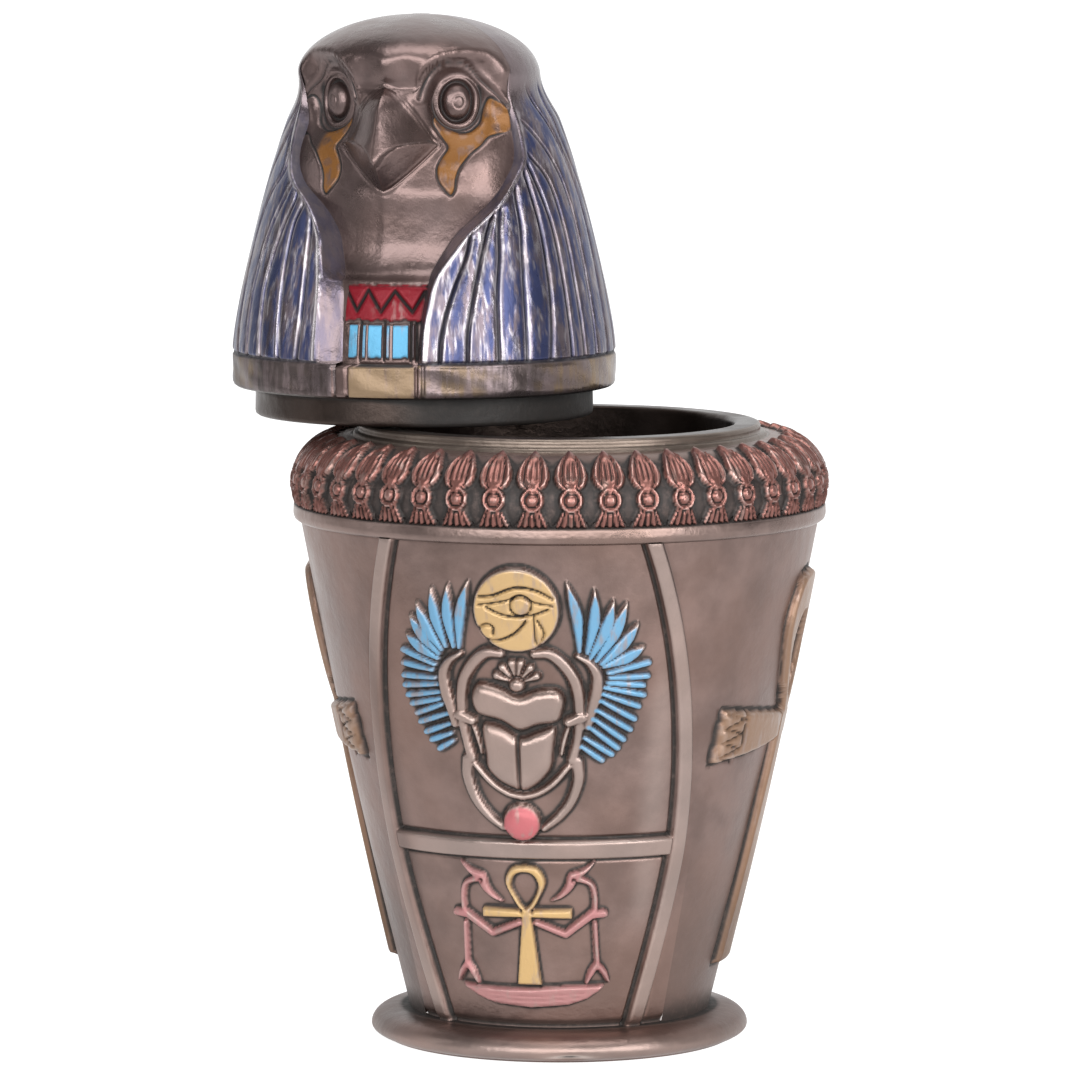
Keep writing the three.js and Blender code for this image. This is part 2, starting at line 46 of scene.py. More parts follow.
# Jar, in millimetres, as in the CAD
JAR_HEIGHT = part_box("jar")[1][2] / MM
FOOT_RADIUS = 27.0
FOOT_HEIGHT = 4.3
BODY_BASE_RADIUS = 21.5
BODY_TOP_RADIUS = 36.9
BODY_BULGE = 0.6
LEDGE_RADIUS = 38.0
LEDGE_HEIGHT = 2.6
LEDGE_TOP = JAR_HEIGHT - 11.4
LEDGE_BOTTOM = LEDGE_TOP - LEDGE_HEIGHT
SHOULDER_RADIUS = 37.5
SHOULDER_ARC = (7.0, 6.9)
RIM_RADIUS = 28.65
RIM_HEIGHT = 1.2
RIM_STEP = 0.7
SHOULDER_TOP = JAR_HEIGHT - RIM_HEIGHT - RIM_STEP
MOUTH_RADIUS = 24.9
HOLLOW_RADIUS = 31.0
WALL = 4.0
FLOOR = 6.0
BUD_COUNT = 44
BAR_HEIGHT = 30.6
BAR_WIDTH = 2.7
BAR_RAISE = 0.62
RIB_HALF = 1.25
RIB_RAISE = 0.75
PANEL_HALF_ANGLE = 52.0
PANEL_GROUND = -0.25
BODY_LOW = FOOT_HEIGHT - 0.6
BODY_HIGH = LEDGE_BOTTOM + 0.3
CHIP_ANGLE = 13

# How far round an outline its distance is worked out
MARGIN = 1.5

# Paint, in linear light
SKY_BLUE = (0.11, 0.27, 0.42)
GOLD = (0.45, 0.295, 0.125)
DUSTY_RED = (0.33, 0.145, 0.145)
BALL_RED = (0.40, 0.095, 0.11)
COLLAR_RED = (0.145, 0.006, 0.012)
COLLAR_BLUE = (0.085, 0.27, 0.42)
WIG_BLUE = (0.040, 0.048, 0.110)
MARK_GOLD = (0.165, 0.072, 0.021)
OLD_GOLD = (0.22, 0.152, 0.088)
SIDE_GOLD = (0.19, 0.098, 0.043)
BUD_COPPER = (0.21, 0.095, 0.080)


def smooth(value, low, high):
    t = np.clip((value - low) / (high - low), 0, 1)
    return t * t * (3 - 2 * t)


def bell(value, width):
    return np.exp(-((value / width) ** 2))


def dome(t):
    return np.sqrt(1 - (1 - t) ** 2)


def lerp(a, b, t):
    return a + (b - a) * t


# Outlines drawn in millimetres

def curve(points, steps=6, closed=False):
    """A Catmull-Rom curve through the points."""
    p = np.array(points, float)
    if closed:
        p = np.vstack([p[-1:], p, p[:2]])
    else:
        p = np.vstack([2 * p[0] - p[1], p, 2 * p[-1] - p[-2]])
    t = np.linspace(0, 1, steps, endpoint=False)[:, None]
    runs = []
    for a, b, c, d in zip(p[:-3], p[1:-2], p[2:-1], p[3:]):
        square, cube = 2 * a - 5 * b + 4 * c - d, 3 * b - a - 3 * c + d
        runs.append(0.5 * (2 * b + (c - a) * t + square * t**2 + cube * t**3))
    if not closed:
        runs.append(p[-2:-1])
    return np.vstack(runs)


def mirrored(points):
    return [(-x, z) for x, z in points]


def distance_to_line(x, z, ax, az, bx, bz):
    """Distance from a straight line, and how far along it the nearest point is."""
    dx, dz = bx - ax, bz - az
    t = np.clip(((x - ax) * dx + (z - az) * dz) / max(dx * dx + dz * dz, 1e-12), 0, 1)
    return np.hypot(x - ax - t * dx, z - az - t * dz), t


def distance_to_path(x, z, points, most=9.0):
    """Distance from a path of straight lines, where it is less than most."""
    nearest = np.full(x.shape, most)
    for a, b in zip(points[:-1], points[1:]):
        nearest = np.minimum(nearest, distance_to_line(x, z, *a, *b)[0])
    return nearest


class Relief:
    """A height field over a surface, with paint. across and up are each vertex's place in millimetres."""

    def __init__(self, across, up):
        self.across, self.up = across.ravel(), up.ravel()
        self.shape = across.shape
        self.height = np.zeros(self.across.size)
        self.paint = np.zeros((self.across.size, 3))
        self.cover = np.zeros(self.across.size)

    def near(self, points, margin):
        p = np.array(points, float)
        (x0, z0), (x1, z1) = p.min(axis=0) - margin, p.max(axis=0) + margin
        inside = (self.across > x0) & (self.across < x1) & (self.up > z0) & (self.up < z1)
        return np.nonzero(inside)[0]

    def outline(self, points, margin=MARGIN):
        """Signed distance to a closed outline, negative inside."""
        p = np.array(points, float)
        at = self.near(p, margin)
        x, z = self.across[at], self.up[at]
        nearest = distance_to_path(x, z, np.vstack([p, p[:1]]), 1e9)
        inside = np.zeros(at.size, bool)
        for (ax, az), (bx, bz) in zip(p, np.roll(p, -1, axis=0)):
            if az != bz:
                crosses = (az > z) != (bz > z)
                inside ^= crosses & (x < (bx - ax) * (z - az) / (bz - az) + ax)
        return at, np.where(inside, -nearest, nearest)

    def pierced(self, points, hole, margin=MARGIN):
        """Signed distance to an outline less a hole in it."""
        at, d = self.outline(points, margin)
        inner = dict(zip(*self.outline(hole, margin)))
        return at, np.maximum(d, -np.array([inner.get(i, 9.0) for i in at]))

    def stroke(self, points, widths):
        """Signed distance to a line of changing width."""
        p = np.array(points, float)
        w = np.interp(np.linspace(0, 1, len(p)), np.linspace(0, 1, len(widths)), widths) / 2
        at = self.near(p, MARGIN + w.max())
        x, z = self.across[at], self.up[at]
        nearest = np.full(at.size, 1e9)
        for (a, b, wa, wb) in zip(p[:-1], p[1:], w[:-1], w[1:]):
            d, t = distance_to_line(x, z, *a, *b)
            nearest = np.minimum(nearest, d - lerp(wa, wb, t))
        return at, nearest

    def round(self, x, z, rx, rz=None):
        """Signed distance to a disc or an oval."""
        rz = rz or rx
        at = self.near([(x - rx, z - rz), (x + rx, z + rz)], MARGIN)
        k = np.hypot((self.across[at] - x) / rx, (self.up[at] - z) / rz)
        return at, (k - 1) * min(rx, rz)

    def swell(self, area, height, bevel, ground=PANEL_GROUND):
        """Raises an area to a height, with edges rounded from the ground up."""
        at, d = area
        t = np.clip(-d / bevel, 0, 1)
        top = ground + (height - ground) * dome(t)
        self.height[at] = np.where(d < 0, np.maximum(self.height[at], top), self.height[at])

    def cut(self, area, depth, soft):
        """Sinks an area by a depth, with a soft edge."""
        at, d = area
        self.height[at] -= depth * (1 - smooth(d, -soft, soft))

    def tint(self, area, colour, amount, soft, inset=0.0):
        """Paints an area, over what is there."""
        at, d = area
        a = amount * (1 - smooth(d + inset, -soft, soft))
        keep = self.cover[at]
        mix = np.where(a + keep > 1e-6, a / np.maximum(a + keep * (1 - a), 1e-6), 0)[:, None]
        self.paint[at] = lerp(self.paint[at], np.array(colour), mix)
        self.cover[at] = a + keep * (1 - a)


# Meshes from grids of points

def blurred(field, reach, wrap):
    """The field averaged over a number of cells each way, three times over."""
    out = field
    for axis in (0, 1):
        r = max(1, int(reach[axis]))
        for _ in range(3):
            mode = "wrap" if axis == 1 and wrap else "edge"
            pad = [(r + 1, r) if k == axis else (0, 0) for k in (0, 1)]
            total = np.cumsum(np.pad(out, pad, mode=mode), axis=axis)
            a = np.take(total, range(2 * r + 1, total.shape[axis]), axis=axis)
            b = np.take(total, range(0, total.shape[axis] - 2 * r - 1), axis=axis)
            out = (a - b) / (2 * r + 1)
    return out


def wear(height, cell, wrap=False):
    """Dark patina in the hollows and rubbed metal on the ridges of a height field, whose cells have this size."""
    fine = height - blurred(height, (0.3 / cell[0], 0.3 / cell[1]), wrap)
    broad = height - blurred(height, (1.0 / cell[0], 1.0 / cell[1]), wrap)
    dark = np.clip(-fine / 0.16, 0, 1) * 0.62 + np.clip(-broad / 0.6, 0, 1) * 0.3
    bright = np.clip(fine / 0.3 - 0.3, 0, 0.55)
    return np.clip(dark, 0, 1), bright


def grid_piece(name, points, material, node, attributes, wrap=False, flip=False):
    """A mesh through a grid of points in millimetres, rows first."""
    rows, columns = points.shape[:2]
    index = np.arange(rows * columns).reshape(rows, columns)
    if wrap:
        index = np.hstack([index, index[:, :1]])
    corners = [index[:-1, :-1], index[:-1, 1:], index[1:, 1:], index[1:, :-1]]
    if flip:
        corners.reverse()
    faces = np.stack(corners, axis=-1).reshape(-1, 4)
    mesh = bpy.data.meshes.new(name)
    mesh.vertices.add(rows * columns)
    mesh.vertices.foreach_set("co", (points * MM).astype(np.float32).ravel())
    mesh.loops.add(faces.size)
    mesh.loops.foreach_set("vertex_index", faces.astype(np.int32).ravel())
    mesh.polygons.add(len(faces))
    mesh.polygons.foreach_set("loop_start", np.arange(0, faces.size, 4, dtype=np.int32))
    mesh.update(calc_edges=True)
    mesh.validate()
    mesh.polygons.foreach_set("use_smooth", np.ones(len(mesh.polygons), bool))
    for key, values in attributes.items():
        kind, field = ("FLOAT_COLOR", "color") if key == "paint" else ("FLOAT", "value")
        if key == "paint":
            values = np.insert(values.reshape(-1, 3), 3, 1, axis=1)
        mesh.attributes.new(key, kind, "POINT").data.foreach_set(field, values.astype(np.float32).ravel())
    mesh.materials.append(material)
    piece = bpy.data.objects.new(name, mesh)
    bpy.context.scene.collection.objects.link(piece)
    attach(piece, "root")
    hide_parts(node)
    return piece


def unpainted(shape, **given):
    """The fields of a surface without paint: dark wash and painted shade, worn metal and painted light, none where not
    given.
    """
    return {"paint": np.zeros((*shape, 3)), "cover": np.zeros(shape), "worn": np.zeros(shape), **given}


# Materials

METAL_SHARE = 0.9


def cast_bronze(name, base, dark, bright, roughness, dull=0.8, streak=0.0):
    """Resin rubbed with bronze powder: dark wash in the hollows, bare metal on the ridges, brushed paint, with painted
    shade and painted highlights carried in the same fields.

    dull is how far the paint hides the metal's shine, streak how strongly lines are brushed along the strands.
    """
    material = bpy.data.materials.new(name)
    material.use_nodes = True
    tree = material.node_tree
    tree.nodes.clear()
    add, link = tree.nodes.new, tree.links.new

    def attribute(key, kind="Fac"):
        node = add("ShaderNodeAttribute")
        node.attribute_name = key
        return node.outputs[kind]

    def noise(size, detail, rough=0.55, stretch=(1, 1, 1)):
        place = add("ShaderNodeMapping")
        place.inputs["Scale"].default_value = stretch
        link(add("ShaderNodeTexCoord").outputs["Object"], place.inputs["Vector"])
        node = add("ShaderNodeTexNoise")
        for key, value in (("Scale", size), ("Detail", detail), ("Roughness", rough)):
            node.inputs[key].default_value = value
        link(place.outputs["Vector"], node.inputs["Vector"])
        return node.outputs["Fac"]

    def ramp(source, low, high, to_low=0.0, to_high=1.0):
        node = add("ShaderNodeMapRange")
        node.interpolation_type = "SMOOTHSTEP"
        for key, value in (("From Min", low), ("From Max", high), ("To Min", to_low), ("To Max", to_high)):
            node.inputs[key].default_value = value
        link(source, node.inputs["Value"])
        return node.outputs["Result"]

    def feed(socket, value):
        if isinstance(value, bpy.types.NodeSocket):
            link(value, socket)
        else:
            socket.default_value = value

    def math(kind, a, b, clamp=True):
        node = add("ShaderNodeMath")
        node.operation = kind
        node.use_clamp = clamp
        feed(node.inputs[0], a)
        feed(node.inputs[1], b)
        return node.outputs[0]

    def times(a, b):
        return math("MULTIPLY", a, b)

    def mix(factor, a, b):
        node = add("ShaderNodeMix")
        node.data_type = "RGBA"
        link(factor, node.inputs["Factor"])
        feed(node.inputs[6], (*a, 1) if isinstance(a, tuple) else a)
        feed(node.inputs[7], (*b, 1) if isinstance(b, tuple) else b)
        return node.outputs[2]

    mottle = noise(140, 5)
    worn = attribute("worn")
    metal = mix(ramp(mottle, 0.3, 0.72), tuple(c * 0.80 for c in base), tuple(c * 1.22 for c in base))
    warm = tuple(c * f for c, f in zip(base, (1.15, 0.98, 0.86)))
    metal = mix(ramp(noise(38, 3), 0.35, 0.7, 0.0, 0.45), metal, warm)
    # Rubbed metal and painted highlights lighten the colour
    metal = mix(ramp(worn, 0.15, 0.95, 0.0, 0.85), metal, bright)
    brushed = (0.40, 0.62, 1.0, 0.2) if streak else (0.52, 0.70, 1.0, 0.35)
    rubbed = ramp(noise(700, 3, 0.6, (1, 1, 0.18)), *brushed)
    if streak:
        grain = attribute("grain")
        light_lines = ramp(noise(1500, 3, 0.6, (1, 1, 0.07)), 0.48, 0.64, 0.0, streak)
        dark_lines = ramp(noise(1100, 2, 0.6, (1, 1, 0.06)), 0.50, 0.66, 0.0, 0.8 * streak)
        metal = mix(times(grain, light_lines), metal, bright)
        metal = mix(times(grain, dark_lines), metal, dark)
    painted = times(attribute("cover"), times(rubbed, ramp(worn, 0.35, 1.0, 1.0, 0.25)))
    colour = mix(painted, metal, attribute("paint", "Color"))
    # Dark wash and painted shade darken the colour, take the shine off the metal and roughen it
    dark_wash_and_shade = times(ramp(attribute("wash"), 0.12, 0.85), ramp(noise(900, 4, 0.7), 0.2, 0.55, 0.72, 1.0))

    fine_bumps = ramp(noise(420, 6, 0.6), 0.2, 0.8, 0.0, 0.6)
    broad_bumps = ramp(noise(60, 2), 0.2, 0.8)
    bump = add("ShaderNodeBump")
    bump.inputs["Strength"].default_value = 0.25
    bump.inputs["Distance"].default_value = 0.0004
    link(math("ADD", fine_bumps, broad_bumps, False), bump.inputs["Height"])

    bare = math("SUBTRACT", 1.0, times(painted, dull))
    free_of_wash_and_shade = math("SUBTRACT", 1.0, times(dark_wash_and_shade, 0.85))
    polish = ramp(mottle, 0.25, 0.75, roughness - 0.06, roughness + 0.10)
    shader = add("ShaderNodeBsdfPrincipled")
    for key, value in (
        ("Base Color", mix(dark_wash_and_shade, colour, dark)),
        ("Metallic", times(times(bare, free_of_wash_and_shade), METAL_SHARE)),
        ("Roughness", math("ADD", polish, times(dark_wash_and_shade, 0.3))),
        ("Normal", bump.outputs["Normal"]),
        ("Specular IOR Level", math("SUBTRACT", 0.5, times(painted, 0.35))),
    ):
        link(value, shader.inputs[key])
    link(shader.outputs["BSDF"], add("ShaderNodeOutputMaterial").inputs["Surface"])
    return material


# Each metal's colour, its dark wash and painted shade, its rubbed ridges and painted highlights, and its roughness
JAR_METAL = cast_bronze(
    "jar_cast_bronze", (0.182, 0.127, 0.113), (0.016, 0.012, 0.010), (0.64, 0.54, 0.49), 0.35
)
BUD_METAL = cast_bronze(
    "bud_cast_bronze", (0.20, 0.145, 0.130), (0.010, 0.006, 0.005), (0.60, 0.42, 0.38), 0.30, dull=0.1
)
# The jar's inside: bronze made nearly black as painted shade
HOLLOW_PAINTED_SHADE_METAL = cast_bronze(
    "hollow_painted_shade_bronze", (0.035, 0.031, 0.025), (0.012, 0.010, 0.008), (0.05, 0.045, 0.04), 0.55
)
# The rim and the lid's spigot: bronze made dark as painted shade, for where they sit under the lid
RIM_PAINTED_SHADE_METAL = cast_bronze(
    "rim_painted_shade_bronze", (0.046, 0.035, 0.031), (0.010, 0.008, 0.007), (0.42, 0.34, 0.28), 0.34
)
HEAD_METAL = cast_bronze(
    "head_cast_bronze", (0.135, 0.098, 0.094), (0.010, 0.008, 0.008), (0.60, 0.54, 0.52), 0.29
)
WIG_METAL = cast_bronze(
    "wig_cast_bronze", (0.150, 0.122, 0.130), (0.012, 0.011, 0.018), (0.62, 0.58, 0.60), 0.26,
    dull=0.25, streak=0.6,
)


# Jar surfaces

def body_radius(z):
    t = np.clip((z - FOOT_HEIGHT) / (LEDGE_BOTTOM - FOOT_HEIGHT), 0, 1)
    return lerp(BODY_BASE_RADIUS, BODY_TOP_RADIUS, t) + BODY_BULGE * np.sin(pi * t)


def spread(z, limit, line, half, counts):
    """A sector's grid. A line at each side stands at angles that z sets, with columns close together by it."""
    marks = [-limit, -line - half, -line + half, line - half, line + half]
    stretches = zip(marks, [*marks[1:], limit], counts)
    parts = [lerp(a, b, np.linspace(0, 1, n, endpoint=False)) for a, b, n in stretches]
    parts[-1] = lerp(marks[-1], limit, np.linspace(0, 1, counts[-1]))
    angle = np.hstack(parts)
    return angle, np.repeat(z, angle.shape[1], axis=1)


def panel_grid(columns, rows):
    """A panel's grid, with columns that follow the ribs and stand close together there."""
    z = np.linspace(BODY_LOW, BODY_HIGH, rows)[:, None]
    rib = rib_angle(z)
    half = np.degrees(2.1 / body_radius(z))
    beyond, on_rib = columns // 12, columns // 9
    middle = columns - 2 * (beyond + on_rib)
    return spread(z, PANEL_HALF_ANGLE, rib, half, (beyond, on_rib, middle, on_rib, beyond))


def on_body(angle, z, height, centre):
    slope = (BODY_TOP_RADIUS - BODY_BASE_RADIUS) / (LEDGE_BOTTOM - FOOT_HEIGHT)
    tilt = 1 / np.hypot(1, slope)
    r = body_radius(z) + height * tilt
    a = np.radians(angle + centre)
    return np.stack([r * np.sin(a), -r * np.cos(a), z - height * slope * tilt], axis=-1)


def rib_angle(z):
    up = (z - BAR_HEIGHT) / (LEDGE_BOTTOM - BAR_HEIGHT)
    down = (BAR_HEIGHT - z) / (BAR_HEIGHT - FOOT_HEIGHT)
    above = lerp(46.0, 30.6, np.clip(up, 0, 1) ** 1.8)
    below = lerp(46.0, 38.5, np.clip(down, 0, 1) ** 1.6)
    return np.where(z > BAR_HEIGHT, above, below)


def panel_frame(relief, angle, z):
    """The two ribs and the cross bar round a panel, with the panel itself set back a little."""
    r = body_radius(z)
    side = np.abs(angle) - rib_angle(z)
    from_rib = np.radians(side) * r
    flat = relief.height.reshape(relief.shape)
    flat += PANEL_GROUND * (1 - smooth(from_rib, -RIB_HALF - 0.5, -RIB_HALF + 0.2))
    t = np.clip((RIB_HALF - np.abs(from_rib)) / 0.55, 0, 1)
    flat[:] = np.where(t > 0, np.maximum(flat, RIB_RAISE * dome(t)), flat)
    flat -= 0.35 * bell(from_rib + RIB_HALF + 0.28, 0.24)
    flat -= 0.12 * bell(from_rib - RIB_HALF - 0.3, 0.3)
    inside = from_rib < -RIB_HALF
    bar = np.clip((BAR_WIDTH / 2 - np.abs(z - BAR_HEIGHT)) / 0.45, 0, 1)
    flat[:] = np.where(inside & (bar > 0), np.maximum(flat, BAR_RAISE * dome(bar)), flat)
    for edge in (-1, 1):
        gap = z - BAR_HEIGHT - edge * (BAR_WIDTH / 2 + 0.25)
        flat -= np.where(inside, 0.35 * bell(gap, 0.25), 0)
    flat -= 0.35 * bell(z - FOOT_HEIGHT - 0.2, 0.5)


# Front panel, places in millimetres across and up from the foot

FEATHERS_LEFT = [
    ((-8.3, 59.6), (-6.7, 69.1)), ((-9.1, 59.6), (-9.7, 68.5)), ((-10.25, 59.6), (-12.2, 67.9)),
    ((-10.9, 59.1), (-14.5, 65.7)), ((-11.3, 58.5), (-15.6, 63.9)), ((-11.5, 57.8), (-16.3, 61.2)),
    ((-12.0, 56.9), (-16.8, 58.7)), ((-12.4, 56.1), (-16.8, 56.8)), ((-12.0, 55.0), (-16.8, 55.0)),
    ((-11.7, 54.1), (-16.7, 53.6)), ((-11.5, 53.0), (-16.3, 52.2)), ((-11.5, 52.0), (-15.7, 51.0)),
    ((-11.2, 51.2), (-15.0, 49.7)), ((-10.25, 50.0), (-14.5, 48.5)), ((-10.1, 48.5), (-13.7, 47.1)),
    ((-10.0, 47.1), (-12.9, 46.0)), ((-9.8, 46.0), (-11.8, 44.8)),
]
FEATHERS_RIGHT = [
    ((8.5, 59.4), (7.1, 69.1)), ((9.5, 59.1), (10.8, 68.1)), ((10.0, 58.5), (13.3, 66.5)),
    ((10.7, 58.0), (15.0, 66.2)), ((11.3, 57.5), (16.4, 63.2)), ((11.6, 57.1), (17.1, 59.9)),
    ((12.2, 56.2), (17.4, 57.5)), ((12.4, 55.5), (17.2, 55.6)), ((12.1, 54.8), (16.6, 54.3)),
    ((11.7, 54.1), (16.6, 52.9)), ((11.4, 53.2), (15.9, 51.3)), ((11.0, 52.3), (15.3, 49.5)),
    ((10.4, 51.0), (14.7, 48.0)), ((9.9, 49.8), (13.8, 46.6)), ((9.3, 48.6), (13.0, 45.4)),
    ((8.8, 46.9), (12.2, 44.5)), ((8.3, 45.7), (10.9, 43.7)),
]


def feathers(relief):
    for side in (FEATHERS_LEFT, FEATHERS_RIGHT):
        for k, (root, tip) in enumerate(side):
            root, tip = np.array(root), np.array(tip)
            upper = k < 6
            bend = np.array([tip[1] - root[1], root[0] - tip[0]]) * (0.05 if upper else 0.0)
            if side is FEATHERS_LEFT:
                bend = -bend
            line = curve([root, (root + tip) / 2 + bend, tip], 5)
            widths = [0.75, 1.25, 1.75, 1.5, 0.35] if upper else [0.8, 0.95, 1.1, 1.05]
            blade = relief.stroke(line, widths)
            relief.swell(blade, 0.72, 0.42)
            painted = relief.stroke(line[:-1] if upper else line, widths)
            relief.tint(painted, SKY_BLUE, 0.95, 0.12, 0.08)


def sun_disc(relief):
    disc = relief.round(0.05, 65.3, 6.05)
    relief.swell(disc, 1.15, 0.55)
    relief.tint(disc, GOLD, 0.85, 0.2, 0.35)
    lines = [
        (curve([(-5.1, 67.2), (-3.1, 67.4), (-0.8, 68.3), (0.8, 68.6), (3.1, 68.1), (5.1, 67.0)]), 0.42),
        (curve([(-5.1, 66.0), (-2.6, 66.4), (-0.8, 66.8), (0.8, 67.3), (2.6, 66.5), (5.0, 66.0)]), 0.3),
        (curve([(-4.0, 65.7), (-2.6, 65.0), (-0.8, 64.5), (2.0, 64.6), (4.5, 65.5)]), 0.34),
        (curve([(-3.2, 61.9), (-3.1, 62.8), (-3.9, 63.3), (-4.8, 63.0), (-5.1, 62.3), (-4.2, 61.2),
                (-2.2, 61.1), (0.0, 62.2), (1.4, 63.8)]), 0.38),
        (curve([(2.5, 64.6), (2.6, 61.6), (3.0, 60.4), (3.8, 62.1), (3.0, 63.9)]), 0.34),
    ]
    for line, width in lines:
        relief.cut(relief.stroke(line, [width, width]), 0.55, 0.16)
    at, d = relief.round(0.75, 66.0, 1.45)
    relief.cut((at, np.abs(d) - 0.18), 0.5, 0.14)


# Limbs of the scarab's left side: their line, widths and height
LIMBS = [
    ([(-2.4, 59.0), (-4.4, 59.0), (-6.2, 57.6), (-7.6, 55.4), (-8.1, 53.2), (-8.2, 51.0)],
     [1.5, 1.9, 1.9, 1.7], 0.95),
    ([(-8.2, 58.7), (-9.8, 57.6), (-10.7, 55.9), (-10.5, 53.4), (-9.8, 51.0), (-9.2, 48.6)],
     [0.9, 1.7, 1.9, 1.4], 0.95),
    ([(-8.4, 50.0), (-6.7, 49.3)], [1.9, 1.6], 1.25),
    ([(-8.2, 49.4), (-7.7, 46.4), (-7.0, 43.8)], [1.6, 1.4, 1.6], 0.95),
    ([(-6.9, 49.2), (-6.0, 46.6), (-5.6, 44.6)], [0.8, 0.9, 0.7], 0.75),
    ([(-7.6, 43.6), (-7.7, 41.0), (-6.6, 37.8), (-4.7, 35.4), (-2.8, 33.9)], [1.9, 1.7, 1.5, 1.2], 0.95),
    ([(-6.6, 43.0), (-4.3, 40.4), (-2.0, 38.9), (0.2, 38.4)], [1.1, 1.2, 1.2, 1.2], 0.95),
]
WING_CASES = [
    (-5.3, 48.8), (-5.1, 44.6), (-4.8, 42.3), (-3.1, 40.5), (-0.8, 39.4), (0.1, 39.2), (1.3, 39.6), (3.1, 41.0),
    (4.3, 42.8), (4.7, 45.5), (4.9, 48.6), (2.4, 48.0), (0, 47.2), (-2.6, 48.7),
]
THORAX = [
    (-5.6, 54.8), (-3.0, 54.4), (0, 53.2), (2.6, 54.0), (5.1, 54.2), (6.4, 52.8), (6.0, 50.4), (5.1, 49.2),
    (2.4, 48.7), (0.0, 47.9), (-2.6, 49.3), (-5.6, 50.1), (-6.6, 51.4), (-6.7, 53.2),
]
HORNS = (-0.2, 54.7)


def scarab(relief):
    def block(outline, height, bevel):
        relief.swell(relief.outline(curve(outline, 4, True)), height, bevel, PANEL_GROUND - 0.05)

    def limb(line, widths, height, bevel=0.7):
        relief.swell(relief.stroke(curve(line, 6), widths), height, bevel)

    for sign in (-1, 1):
        for line, widths, height in LIMBS:
            limb(mirrored(line) if sign > 0 else line, widths, height)
        for angle in (22, 50, 78):
            x, z = sign * cos(radians(angle)), sin(radians(angle))
            limb([(HORNS[0] + x * far, HORNS[1] + z * far) for far in (1.3, 3.0)], [0.6, 1.3], 0.85, 0.5)
    block(WING_CASES, 1.35, 1.6)
    relief.cut(relief.stroke([(-0.3, 47.0), (-0.25, 39.4)], [0.45, 0.35]), 0.8, 0.25)
    block(THORAX, 1.5, 1.5)
    relief.swell(relief.round(-0.2, 54.5, 1.2, 1.05), 1.2, 0.8, -0.2)
    for hollow in ([(-6.3, 45.6), (-5.9, 44.2)], [(6.3, 45.4), (5.8, 44.0)]):
        relief.cut(relief.stroke(hollow, [0.5, 0.3]), 0.3, 0.3)
    ball = relief.round(-0.25, 34.55, 2.55)
    relief.swell(relief.round(-0.25, 34.8, 2.75), 0.8, 0.5, -0.2)
    relief.swell(ball, 1.45, 2.2, 0.2)
    relief.tint(ball, BALL_RED, 0.9, 0.2, 0.1)
    relief.cut((ball[0], np.abs(ball[1] - 0.1) - 0.06), 0.35, 0.14)


def ankh_outline(top, half, low, cross, reach, thick, flare, stem, foot, base):
    """One half of an ankh's outline is worked out and mirrored. All are heights and half widths."""
    loop = curve([
        (0.25 * half, low - 0.3), (0.62 * half, lerp(low, top, 0.22)), (half, lerp(low, top, 0.62)),
        (0.66 * half, lerp(low, top, 0.93)), (0, top),
    ], 5)
    arms = [
        (stem, cross + thick), (reach, cross + flare), (reach, cross - flare), (stem, cross - thick), (foot, base),
    ]
    right = [tuple(p) for p in loop[::-1]] + arms
    return right + mirrored(right[::-1])[:-1]


# The sceptre figure left of the ankh, as lines and their widths, and how much higher the right one stands
FIGURE = [
    ([(-9.2, 21.6), (-9.25, 23.6), (-8.9, 25.2), (-7.9, 25.9), (-6.9, 26.2)], [0.8, 0.85, 0.9, 1.1]),
    ([(-9.5, 28.6), (-8.0, 27.3), (-6.5, 26.5)], [0.25, 0.9, 1.5]),
    ([(-6.4, 26.3), (-5.8, 24.9), (-4.7, 23.7), (-3.4, 22.9)], [1.5, 1.2, 0.8, 0.25]),
    ([(-10.3, 21.0), (-8.9, 20.9)], [1.3, 1.4]),
    ([(-9.1, 19.6), (-9.15, 13.0)], [0.75, 0.85]),
    ([(-9.1, 13.6), (-9.9, 12.4), (-10.5, 10.9)], [0.9, 1.0, 0.5]),
    ([(-9.1, 13.6), (-8.3, 12.3), (-7.6, 10.8)], [0.9, 1.0, 0.5]),
]
RIGHT_FIGURE_RISE = 0.3
ANKH_HOLE = [
    (-0.25, 22.2), (1.15, 23.9), (1.55, 25.6), (0.9, 27.0), (-0.3, 27.35), (-1.6, 26.9), (-2.15, 25.4), (-1.4, 23.8),
]
BOWL = [
    (-10.2, 10.6), (-9.0, 9.7), (-7.4, 8.7), (-5.2, 7.85), (0, 7.4), (5.1, 7.85), (7.6, 8.7), (9.2, 9.8),
    (10.1, 10.8), (5, 10.75), (0, 10.35), (-5, 10.3),
]


